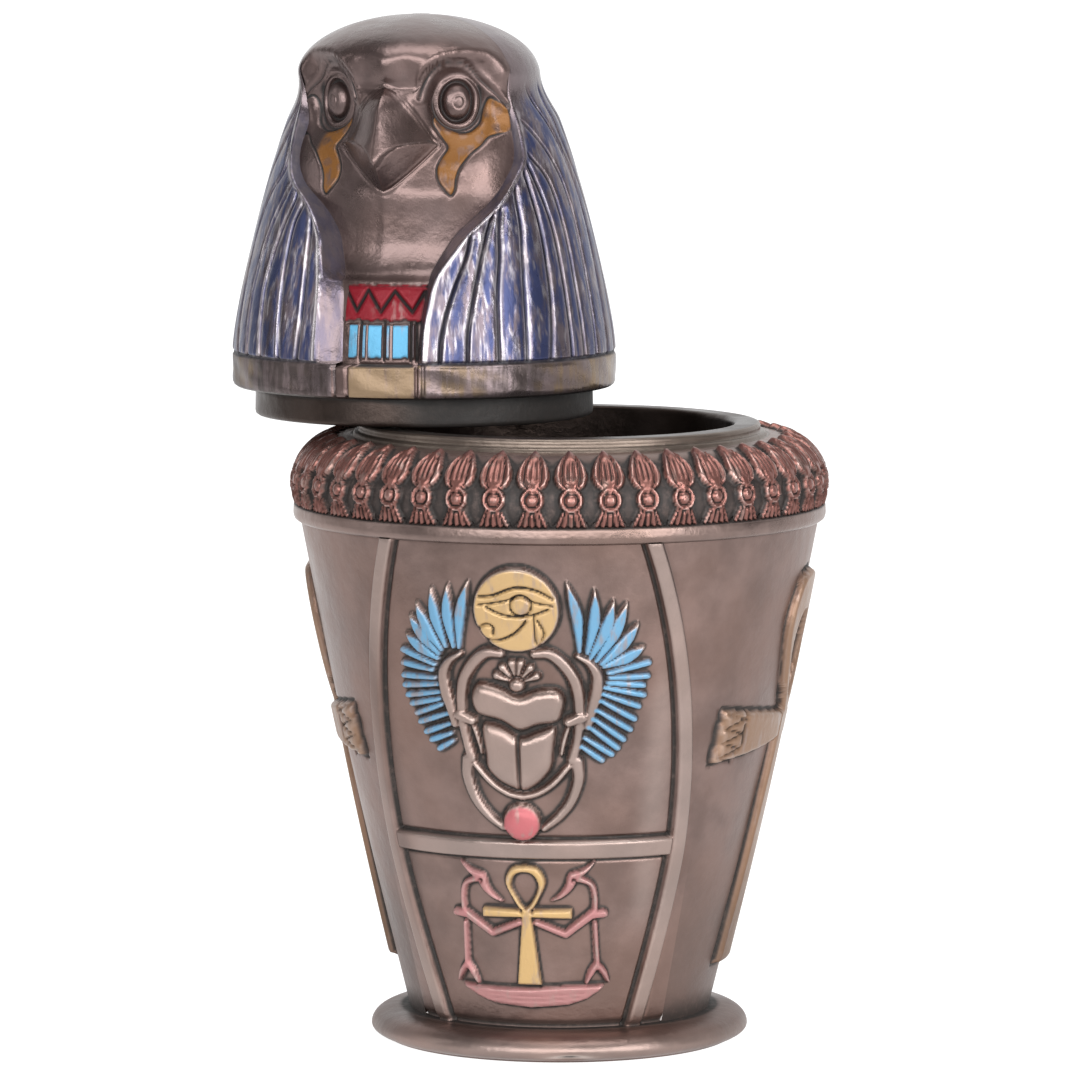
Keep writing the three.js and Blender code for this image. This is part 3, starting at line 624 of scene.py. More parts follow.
def charm(relief):
    """The lower panel's ankh between two sceptre figures, over a bowl."""
    gold = [(x - 0.15, z) for x, z in ankh_outline(28.5, 2.85, 21.9, 21.35, 6.3, 0.62, 0.75, 0.75, 1.75, 10.8)]
    ankh = relief.pierced(gold, curve(ANKH_HOLE, 5, True))
    relief.swell(ankh, 0.95, 0.45)
    relief.tint(ankh, GOLD, 0.95, 0.15, 0.05)

    def red(area, height=0.85, bevel=0.5):
        relief.swell(area, height, bevel)
        relief.tint(area, DUSTY_RED, 0.85, 0.15)

    for sign, rise in ((-1, 0.0), (1, RIGHT_FIGURE_RISE)):
        for line, widths in FIGURE:
            red(relief.stroke(curve([(-sign * x, z + rise) for x, z in line], 5), widths))
        arm = [(sign * 9.0, 21.1 + rise), (sign * 5.1, 18.3), (sign * 1.2, 20.0)]
        red(relief.stroke(arm, [1.3, 1.2, 1.1]))
        relief.cut(relief.round(sign * 6.5, 26.0 + rise, 0.32), 0.7, 0.18)
    red(relief.outline(BOWL), 0.9, 0.4)
    for drop in (0.8, 1.5, 2.2):
        line = curve([(-8 + drop, 10.5 - drop), (0, 10.1 - drop), (8 - drop, 10.6 - drop)])
        relief.cut(relief.stroke(line, [0.14, 0.14]), 0.14, 0.12)


def panel(name, centre, columns, rows, ornaments=()):
    angle, z = panel_grid(columns, rows)
    relief = Relief(body_radius(z) * np.sin(np.radians(angle)), z)
    panel_frame(relief, angle, z)
    for ornament in ornaments:
        ornament(relief)
    finished_sector(name, relief, angle, z, centre)


def side_ankh(name, centre):
    outline = np.array(ankh_outline(68.1, 6.9, 48.3, 45.8, 19.5, 2.0, 3.85, 2.2, 4.7, 11.4))
    z = np.linspace(BODY_LOW, BODY_HIGH, 212)[:, None]
    loop = outline[(outline[:, 1] > 48.6) & (outline[:, 0] > 1.5)]
    loop = loop[np.argsort(loop[:, 1])]
    stem = np.interp(z, [11.4, 43.5, 49.0], [4.7, 2.3, loop[0, 0]])
    edge = np.where(z > 49.0, np.interp(z, loop[:, 1], loop[:, 0]), stem)
    edge = np.degrees(blurred(edge, (2, 1), False) / body_radius(z))
    near = np.degrees(1.0 / body_radius(z))
    angle, z = spread(z, 90 - PANEL_HALF_ANGLE, edge, near, (34, 18, 30, 18, 35))
    relief = Relief(np.radians(angle) * body_radius(z), z)
    half_hole = [(0, 50.0), (2.6, 53.6), (3.9, 57.6), (2.7, 61.0), (0, 61.9)]
    hole = curve(half_hole + mirrored(half_hole[-2:0:-1]), 5, True)
    at, d = relief.pierced(outline, hole, 2.5)
    relief.swell((at, d), 1.15, 0.7, 0.0)
    relief.tint((at, d), SIDE_GOLD, 0.7, 0.3)
    relief.cut((at, np.abs(d - 0.3) - 0.12), 0.3, 0.2)
    for sign in (-1, 1):
        for x in (14.6, 19.0):
            relief.cut(relief.stroke([(sign * x, 49.0), (sign * x, 41.6)], [0.3, 0.3]), 0.5, 0.2)
        zig = [(sign * (14.9 if k % 2 else 18.7), 49.2 - k * 1.05) for k in range(8)]
        relief.cut(relief.stroke(zig, [0.3, 0.3]), 0.5, 0.2)
        relief.cut(relief.stroke([(sign * 2.3, 48.0), (sign * 2.2, 43.6)], [0.25, 0.25]), 0.4, 0.2)
    return finished_sector(name, relief, angle, z, centre)


def finished_sector(name, relief, angle, z, centre):
    height = relief.height.reshape(relief.shape)
    rows, columns = relief.shape
    cell = ((z[-1, 0] - z[0, 0]) / rows, np.radians(angle[0, -1] - angle[0, 0]) * 30 / columns)
    wash, worn = wear(height, cell)
    # Darker just above the foot, and painted shade low on the two side sectors; on the front panel, painted shade down
    # its left side and a painted highlight down its right
    low = 0.3 * (1 - smooth(z, FOOT_HEIGHT, FOOT_HEIGHT + 4)) + 0.42 * (abs(centre) == 90) * (1 - smooth(z, 14, 46))
    middle = (centre == 0) * smooth(z, 10, 24) * (1 - smooth(z, 52, 68))
    wash = np.clip(wash + low + 0.34 * middle * bell(angle + 41, 5), 0, 1)
    worn = np.maximum(worn, 0.42 * smooth(height, 0.4, 0.62))
    worn = np.maximum(worn, 0.36 * middle * bell(angle - 37, 8)) * (1 - wash)
    data = {"paint": relief.paint.reshape(*relief.shape, 3), "cover": relief.cover, "wash": wash, "worn": worn}
    return grid_piece(name, on_body(angle, z, height, centre), JAR_METAL, "jar", data)


# Shoulder, rim, foot and inside

def along(profile, step):
    """Points at even steps along a profile of [radius, height]."""
    p = np.array(profile, float)
    run = np.concatenate([[0], np.cumsum(np.hypot(*np.diff(p, axis=0).T))])
    s = np.linspace(0, run[-1], max(2, int(run[-1] / step)))
    return np.stack([np.interp(s, run, p[:, 0]), np.interp(s, run, p[:, 1])], axis=-1)


def shoulder_line():
    rise, drop = SHOULDER_ARC[1], SHOULDER_TOP - SHOULDER_ARC[1]
    start = np.arcsin((LEDGE_TOP - drop) / rise)
    a = np.linspace(start, pi / 2, 40)
    return np.stack([SHOULDER_RADIUS - SHOULDER_ARC[0] * (1 - np.cos(a)), drop + rise * np.sin(a)], axis=-1)


def turned(name, profile, columns, material, relief=None, flip=False, extra=None):
    """A surface of revolution. relief pushes it along the profile's own normal, extra changes its fields."""
    p = np.asarray(profile, float)
    tangent = np.gradient(p, axis=0)
    normal = np.stack([tangent[:, 1], -tangent[:, 0]], axis=-1)
    normal /= np.maximum(np.linalg.norm(normal, axis=1), 1e-9)[:, None]
    angle = np.linspace(0, 360, columns, endpoint=False)
    a, k = np.meshgrid(angle, np.arange(len(p)))
    height = relief(a, k, p) if relief else np.zeros(a.shape)
    r = p[k, 0] + height * normal[k, 0]
    z = p[k, 1] + height * normal[k, 1]
    t = np.radians(a)
    points = np.stack([r * np.sin(t), -r * np.cos(t), z], axis=-1)
    step = np.hypot(*np.diff(p, axis=0).T).mean()
    wash, worn = wear(height, (max(step, 0.05), 2 * pi * p[:, 0].mean() / columns), True)
    data = unpainted(a.shape, wash=wash, worn=worn)
    if extra:
        extra(data, a, k, p)
    return grid_piece(name, points, material, "jar", data, True, flip)


def lotus(angle, k, p):
    """Lotus buds round the shoulder: a pointed leaf over a ringed boss, with a fluted tail below."""
    pitch = 360 / BUD_COUNT
    r, z = p[k, 0], p[k, 1]
    run = np.concatenate([[0], np.cumsum(np.hypot(*np.diff(p, axis=0).T))])
    base = run[np.argmin(np.abs(p[:, 1] - LEDGE_TOP) + (p[:, 0] > SHOULDER_RADIUS + 0.4) * 9)]
    s = run[k] - base
    across = np.radians((angle + 4.1 + pitch / 2) % pitch - pitch / 2) * r
    height = np.zeros(angle.shape)

    tail = np.interp(s, [0.1, 2.9], [2.6, 1.25])
    inside = (s > 0.1) & (s < 3.1)
    edge = np.clip((tail - np.abs(across)) / 0.25, 0, 1)
    flutes = 0.25 * np.cos(across / tail * pi * 4.6)
    height = np.where(inside & (edge > 0), edge * (0.62 + flutes), height)

    d = np.hypot(across, s - 4.3)
    boss = np.clip((1.7 - d) / 0.25, 0, 1)
    ring = 1.0 - 0.6 * bell(d - 0.95, 0.24)
    height = np.where(d < 1.7, boss * ring, height)

    leaf = np.interp(s, [5.5, 6.2, 7.4, 8.8, 10.6, 12.0, 12.9], [0.9, 2.0, 2.4, 2.15, 1.4, 0.7, 0.1])
    inside = (s > 5.3) & (s < 13.0)
    edge = np.clip((leaf - np.abs(across)) / 0.35, 0, 1)
    vein = 0.5 * bell(np.abs(across) - leaf * 0.52, 0.17)
    vein += 0.4 * bell(np.abs(across) - leaf * 0.16, 0.13) * smooth(s, 6.4, 7.0) * (1 - smooth(s, 9.5, 10.8))
    fade = 1 - smooth(s, 10.6, 12.4)
    return np.where(inside & (edge > 0), np.maximum(height, edge**0.7 * (0.95 - vein * fade)), height)


def shoulder():
    ledge = [[body_radius(LEDGE_BOTTOM) - 0.3, LEDGE_BOTTOM + 0.05], [LEDGE_RADIUS - 0.7, LEDGE_BOTTOM + 0.1],
             [LEDGE_RADIUS - 0.15, LEDGE_BOTTOM + 0.5], [LEDGE_RADIUS, LEDGE_BOTTOM + 1.1],
             [LEDGE_RADIUS - 0.05, LEDGE_TOP - 0.35], [LEDGE_RADIUS - 0.3, LEDGE_TOP],
             [SHOULDER_RADIUS - 0.25, LEDGE_TOP]]
    under_rim = [RIM_RADIUS + RIM_STEP + 0.6, SHOULDER_TOP + 0.1]
    profile = along([*ledge, *shoulder_line().tolist(), under_rim], 0.26)

    def ends(data, a, k, p):
        gap = bell(p[k, 1] - LEDGE_TOP, 0.25) * (p[k, 0] > SHOULDER_RADIUS - 0.5)
        height = lotus(a, k, p)
        ground = (1 - smooth(height, 0.3, 0.72)) * (p[k, 1] > LEDGE_TOP + 0.1)
        near_top = smooth(p[k, 1], SHOULDER_TOP - 1.2, SHOULDER_TOP - 0.2)
        data["wash"] = np.clip(data["wash"] + 0.8 * gap + ground * lerp(0.6, 0.25, near_top), 0, 1)
        data["worn"] = np.clip(data["worn"] * 0.8 + 0.45 * smooth(height, 0.85, 1.0), 0, 1)
        above = (p[k, 1] > LEDGE_TOP + 0.05) & (p[k, 0] < LEDGE_RADIUS - 0.35)
        data["cover"] = above * smooth(height, 0.1, 0.4)
        data["paint"] = np.ones((*a.shape, 3)) * np.array(BUD_COPPER)

    return turned("jar_lotus_shoulder", profile, 960, BUD_METAL, lotus, extra=ends)


def rim():
    top = JAR_HEIGHT
    profile = along([
        [RIM_RADIUS + RIM_STEP + 0.6, SHOULDER_TOP + 0.1], [RIM_RADIUS + RIM_STEP + 0.35, SHOULDER_TOP - 0.12],
        [RIM_RADIUS + RIM_STEP + 0.15, SHOULDER_TOP + 0.05], [RIM_RADIUS + RIM_STEP + 0.02, SHOULDER_TOP + 0.55],
        [RIM_RADIUS + RIM_STEP - 0.3, SHOULDER_TOP + 0.72], [RIM_RADIUS + 0.15, SHOULDER_TOP + 0.55],
        [RIM_RADIUS - 0.05, SHOULDER_TOP + 0.75], [RIM_RADIUS, top - 0.45], [RIM_RADIUS - 0.15, top - 0.12],
        [RIM_RADIUS - 0.5, top], [MOUTH_RADIUS + 0.55, top], [MOUTH_RADIUS + 0.15, top - 0.15],
        [MOUTH_RADIUS, top - 0.6], [MOUTH_RADIUS, top - 5.0], [HOLLOW_RADIUS, top - 12.5],
    ], 0.3)

    def rubbed(data, a, k, p):
        # The outer face is lighter: rubbed metal, and less of the painted shade of the rim's dark metal
        data["worn"] = np.clip(data["worn"] + 0.45 * (p[k, 0] > RIM_RADIUS - 0.4), 0, 1)

    return turned("jar_rim", profile, 180, RIM_PAINTED_SHADE_METAL, extra=rubbed)


def inside():
    z = np.linspace(JAR_HEIGHT - 12.5, FLOOR + 1, 24)
    wall = [[min(HOLLOW_RADIUS, body_radius(v) - WALL), v] for v in z]
    floor = [[body_radius(FLOOR) - WALL - 1.5, FLOOR], [8, FLOOR], [0.01, FLOOR]]
    return turned("jar_inside", [*wall, *floor], 150, HOLLOW_PAINTED_SHADE_METAL)


def foot():
    arc = np.radians(np.linspace(-62, 78, 22))
    round_over = FOOT_RADIUS - BODY_BASE_RADIUS - 1.0
    edge = [
        [BODY_BASE_RADIUS + 1.0 + round_over * cos(a) ** 0.8, 1.55 + (2.55 if a > 0 else 1.55) * sin(a)]
        for a in arc
    ]
    ends = [0.01, 0.0], [FOOT_RADIUS - 2.0, 0.0], [BODY_BASE_RADIUS - 0.4, FOOT_HEIGHT]
    profile = along([*ends[:2], *edge, ends[2]], 0.35)

    def worn_edge_and_side_shade(data, a, k, p):
        r, z = p[k, 0], p[k, 1]
        nick = bell(a - CHIP_ANGLE, 6.5) * smooth(r, 25.8, 26.6) * (1 - smooth(z, 0.7, 1.5))
        data["worn"] = np.clip(data["worn"] + 0.35 * smooth(r, 25.5, 27) + 0.7 * nick, 0, 1)
        # Painted shade round the foot's two sides
        turn = np.abs((a + 180) % 360 - 180)
        painted_side_shade = 0.4 * smooth(turn, 30, 65) * (1 - smooth(turn, 110, 150))
        data["wash"] = np.clip(data["wash"] + 0.9 * (1 - smooth(r, 21.6, 23.2)) * (z > 3) + painted_side_shade, 0, 1)

    def chip(angle, k, p):
        r, z = p[k, 0], p[k, 1]
        hollow = bell(angle - CHIP_ANGLE, 5) * smooth(r, 25.6, 26.6) * (1 - smooth(z, 0.9, 1.6))
        return -0.35 * hollow * (z > 0.02)

    return turned("jar_foot", profile, 210, JAR_METAL, chip, extra=worn_edge_and_side_shade)


panel("jar_front_panel", 0, 288, 316, (feathers, sun_disc, scarab, charm))
panel("jar_back_panel", 180, 130, 170)
side_ankh("jar_right_side", 90)
side_ankh("jar_left_side", -90)
shoulder()
rim()
inside()
foot()


# Lid: a reach from its own axis, for an angle from the middle of the face and a height above the brim's
# underside, in millimetres. The falcon's left side has the positive angles.

LID_SHIFT = (-20.8, 6.0)
FACE_TURN = -5.0
BRIM_UNDERSIDE = JAR_HEIGHT + 0.3 + 4.1
LID_TOP = 53.3
SPIGOT_HEIGHT = 4.1
SPIGOT_RADIUS = 24.3
BRIM_RADIUS = 27.6
BRIM_HEIGHT = 5.0
CROWN_HEIGHT = 8.7
CROWN_SIZE = (17.1, 20.0)
CROWN_AHEAD = 2.6
CROWN_ROWS = 44
CROWN_BASE = LID_TOP - CROWN_HEIGHT
WIG_PROFILE = [(0, 27.6), (6, 27.5), (12.4, 26.5), (19.6, 24.9), (26.8, 23.1), (34, 21.0), (41.1, 18.5),
               (44.6, 17.2)]

# Where the wig's front edges stand: height, angle on the left, angle on the right, and where the right one's
# side meets the face
WIG_EDGES = [
    (0, 15.1, 17.8, 11.8), (5.9, 15.3, 17.9, 11.6), (10.9, 16.2, 18.1, 12.0), (14.5, 17.8, 18.4, 12.9),
    (16.4, 19.0, 18.8, 14.4), (17.9, 20.7, 19.3, 16.6), (20.5, 25.4, 20.4, 19.2), (23.3, 31.4, 22.4, 21.4),
    (27.0, 42.9, 29.5, 28.6), (30.4, 51.0, 41.0, 40.2), (33.5, 57.2, 46.5, 45.8), (38.3, 58.1, 50.0, 49.2),
    (42.0, 57.5, 53.0, 52.2), (53.3, 57.0, 54.0, 53.2),
]
# The wig's strands: the angle of each crease at these heights, from the front backwards
STRAND_HEIGHTS = (0, 5, 10, 15, 20, 24, 28, 31, 34, 37, 40, 43.5)
STRANDS_LEFT = [
    (20.4, 20.5, 21.6, 25.0, 30.0, 33.0, 40, 48, 55, 55, 55, 55),
    (28.8, 28.8, 29.6, 32.0, 35.3, 38.6, 44, 50, 56, 56, 56, 56),
    (38.8, 38.8, 39.0, 39.7, 41.6, 42.6, 45, 51, 56, 56, 56, 56),
    (48.0, 48.1, 48.6, 49.2, 50.3, 51.2, 51, 52, 56, 56, 56, 56),
    (56.9, 56.9, 58.3, 59.5, 59.9, 59.6, 58.3, 57, 56, 56, 56, 56),
    (65.9, 65.9, 66.1, 66.3, 66.4, 65.7, 63.3, 60.8, 58, 57, 56, 56),
    (72.6, 72.3, 72.3, 72.3, 72.7, 72.2, 70.8, 67.6, 60.5, 57, 56, 56),
    (79.5, 79.5, 79.8, 80.3, 81.0, 81.2, 80.0, 77.5, 73.0, 66.0, 57.5, 56),
    (88.5, 88.5, 89.0, 90.0, 91.5, 91.8, 91.0, 89.0, 86.0, 82.0, 76.5, 70),
    (98.0, 98.0, 98.5, 99.5, 100.5, 100.5, 98.5, 95.0, 91.5, 88.5, 87.0, 86),
]
STRANDS_RIGHT = [
    (25.3, 25.3, 24.8, 25.0, 25.7, 26.4, 29, 38, 50, 55, 55, 55),
    (33.0, 33.1, 34.2, 35.2, 35.7, 35.0, 32, 39, 50, 55, 55, 55),
    (42.3, 42.4, 43.8, 45.0, 43.2, 40.5, 37, 40, 50, 55, 55, 55),
    (50.8, 51.0, 52.6, 53.2, 51.4, 48.6, 43.6, 41, 50, 55, 55, 55),
    (59.4, 59.6, 62.0, 63.5, 64.1, 62.6, 57.5, 50, 50, 55, 55, 55),
    (68.0, 68.5, 70.0, 71.5, 73.0, 72.9, 70.3, 66.7, 61.0, 57, 56, 56),
    (77.0, 77.3, 78.6, 80.0, 81.2, 81.3, 79.8, 77.0, 73.0, 67.0, 59, 56),
    (86.5, 86.5, 87.2, 88.2, 89.5, 90.0, 89.4, 87.6, 84.6, 80.5, 75, 69),
    (96.0, 96.0, 96.5, 97.5, 98.8, 99.2, 98.3, 96.0, 93.0, 90.0, 87, 85),
]
BACK_STRANDS = 9

FACE_ANGLES = (0, 8, 15, 24, 33, 46, 60)
# The face without beak and eyes: height, then the reach at each of FACE_ANGLES
FACE_FORM = [
    (0.0, 25.4, 25.4, 25.4, 25.4, 25.4, 25.4, 25.4), (5.4, 25.2, 25.2, 25.2, 25.2, 25.2, 25.2, 25.2),
    (10.4, 24.6, 24.6, 24.6, 24.6, 24.6, 24.6, 24.6), (15.9, 23.3, 23.3, 23.3, 23.2, 23.0, 23.0, 23.0),
    (16.6, 22.3, 22.3, 22.3, 22.3, 22.2, 22.2, 22.2), (17.4, 21.2, 21.2, 21.2, 21.2, 21.1, 21.1, 21.1),
    (18.4, 20.65, 20.65, 20.6, 20.6, 20.6, 20.6, 20.6), (19.4, 20.35, 20.3, 20.3, 20.3, 20.4, 20.5, 20.5),
    (20.5, 20.1, 20.05, 20.05, 20.1, 20.2, 20.4, 20.4), (22.0, 19.95, 19.9, 19.9, 20.0, 20.1, 20.3, 20.4),
    (25.5, 20.1, 20.1, 20.1, 20.2, 20.4, 20.6, 20.6), (28.5, 20.5, 20.4, 20.4, 20.6, 20.8, 20.9, 20.7),
    (31.0, 20.4, 19.8, 19.6, 19.9, 20.4, 20.6, 20.2),
    (33.0, 20.4, 19.3, 18.9, 19.3, 19.9, 20.2, 19.8), (35.0, 20.4, 19.1, 18.4, 18.3, 18.9, 19.5, 19.5),
    (37.0, 20.4, 19.5, 18.3, 17.4, 17.5, 18.4, 19.2), (39.0, 20.3, 19.9, 18.5, 16.8, 16.4, 17.5, 18.9),
    (41.0, 20.2, 20.0, 18.7, 16.7, 15.9, 17.0, 18.7), (43.5, 19.4, 19.4, 19.0, 16.9, 16.0, 16.9, 18.5),
    (45.0, 19.8, 19.5, 19.3, 17.1, 16.4, 17.0, 18.3), (49.0, 20.9, 20.7, 20.2, 19.3, 18.4, 18.0, 18.0),
    (53.3, 20.9, 20.7, 20.2, 19.3, 18.4, 18.0, 18.0),
]
BROW = [(0, 43.3), (7, 43.3), (11, 43.4), (12.7, 43.9), (13.6, 44.9), (15.4, 46.0), (18.6, 47.2), (22, 48.0),
        (26, 48.6), (32, 48.9), (40, 48.8), (48, 48.5), (57, 48.1), (66, 47.2)]
FOREHEAD = [(41, 3.3), (43.5, 3.2), (45, 2.5), (46.5, 1.5), (47.8, 0.6), (49, 0.15), (50.5, 0), (53.3, 0)]
BEAK_RIDGE = [(32.3, 25.6), (33.5, 25.9), (35.4, 25.2), (37.3, 24.5), (39.2, 23.8), (41.0, 22.9), (42.4, 21.5),
               (43.5, 19.6)]
BEAK_HALF = [(32.3, 22.6), (35.3, 22.3), (36.2, 19.5), (37.8, 16.0), (39.8, 11.9), (41.8, 7.3), (43.0, 3.6),
             (43.6, 0.6)]
MOUTH = [(0, 32.5), (1.0, 33.1), (2.4, 34.1), (6.2, 35.3), (12, 35.8), (18.6, 35.9), (22.2, 35.4), (30, 34.4)]
JAW = [(0, 28.9), (3, 29.4), (7.2, 30.6), (13.5, 32.5), (18.6, 34.1), (22.2, 35.2), (30, 38)]
LID_FOLD = [(14.2, 42.0), (15.6, 43.6), (18, 45.0), (20.9, 46.1), (25.8, 46.9), (31.7, 47.0), (36.7, 46.4), (42, 45.1),
            (47.5, 43.4), (52, 42.0), (55.5, 40.8)]
CHEEK_MARK = [
    (20.2, 38.4), (24.9, 36.0), (26.5, 34.9), (23.6, 33.6), (21.4, 32.2), (21.6, 30.5), (24.1, 29.1), (26.5, 28.3),
    (28.2, 29.1), (29.1, 30.8), (31.3, 32.4), (36.1, 34.1), (41.1, 35.2), (45.3, 36.3), (50.0, 36.7), (56.0, 37.2),
    (57.6, 38.8), (54.9, 40.6), (52.0, 41.3), (48.4, 41.9), (46.5, 40.6), (44.0, 38.6), (40, 37.5), (35.9, 37.0),
    (31, 37.2), (27.7, 38.0), (22.7, 39.5),
]
EYE = (32.8, 41.35)
EYE_REACH = 16.0
EYE_BALL = (2.05, 2.5)
EYE_LIP = (2.75, 3.2)
EYE_EDGE = (3.5, 3.9)
MM_PER_DEGREE = 0.31
BEAK_TOP = BEAK_HALF[-1][0]
JAW_HALF = 22.3
WIG_HEIGHTS = np.concatenate([
    np.arange(0.35, 5.0, 0.42), np.arange(5.0, 6.4, 0.16), np.arange(6.4, 43.4, 0.24), np.arange(43.4, 44.4, 0.3), [44.6],
])


def along_table(table, value, column=1):
    """A smooth reading of a table, by a curve through its rows."""
    p = curve([(row[0], row[column]) for row in table], 6)
    return np.interp(value, p[:, 0], p[:, 1])


def crown_reach(angle, z):
    k = np.sqrt(np.clip(1 - (np.maximum(0, z - CROWN_BASE) / CROWN_HEIGHT) ** 2, 0, 1))
    sx, sy = np.sin(np.radians(angle)) / CROWN_SIZE[0], np.cos(np.radians(angle)) / CROWN_SIZE[1]
    c = CROWN_AHEAD / CROWN_SIZE[1]
    qa, qb, qc = sx**2 + sy**2, -2 * sy * c, c**2 - k**2
    return (-qb + np.sqrt(np.maximum(qb**2 - 4 * qa * qc, 0))) / (2 * qa)


def outer_reach(angle, z):
    return lerp(along_table(WIG_PROFILE, z), crown_reach(angle, z), smooth(z, 38.0, 46.5))


def face_form(angle, z):
    """The face's broad form, a smooth surface through FACE_FORM."""
    a = np.abs(angle)
    columns = np.stack([along_table(FACE_FORM, z, k + 1) for k in range(len(FACE_ANGLES))], axis=-1)
    knots = np.array(FACE_ANGLES, float)
    last = len(knots) - 1
    k = np.clip(np.searchsorted(knots, a) - 1, 0, last - 1)

    def at(i):
        return np.take_along_axis(columns, np.clip(i, 0, last)[..., None], axis=-1)[..., 0]

    x0, x1 = knots[k], knots[k + 1]
    before, after = knots[np.clip(k - 1, 0, last)], knots[np.clip(k + 2, 0, last)]
    before = np.where(k == 0, -knots[1], before)
    t = np.clip((a - x0) / (x1 - x0), 0, 1)
    p0, p1, p2, p3 = at(np.abs(k - 1)), at(k), at(k + 1), at(k + 2)
    m1 = (p2 - p0) / (x1 - before) * (x1 - x0)
    m2 = (p3 - p1) / (np.maximum(after, x1) - x0) * (x1 - x0)
    return p1 * (1 + 2 * t) * (1 - t) ** 2 + m1 * t * (1 - t) ** 2 + p2 * t * t * (3 - 2 * t) - m2 * t * t * (1 - t)


def face_distance(a, z, line):
    """Distance in millimetres from a line drawn on one half of the face."""
    return distance_to_path(a * MM_PER_DEGREE, z, curve([(x * MM_PER_DEGREE, y) for x, y in line], 3))


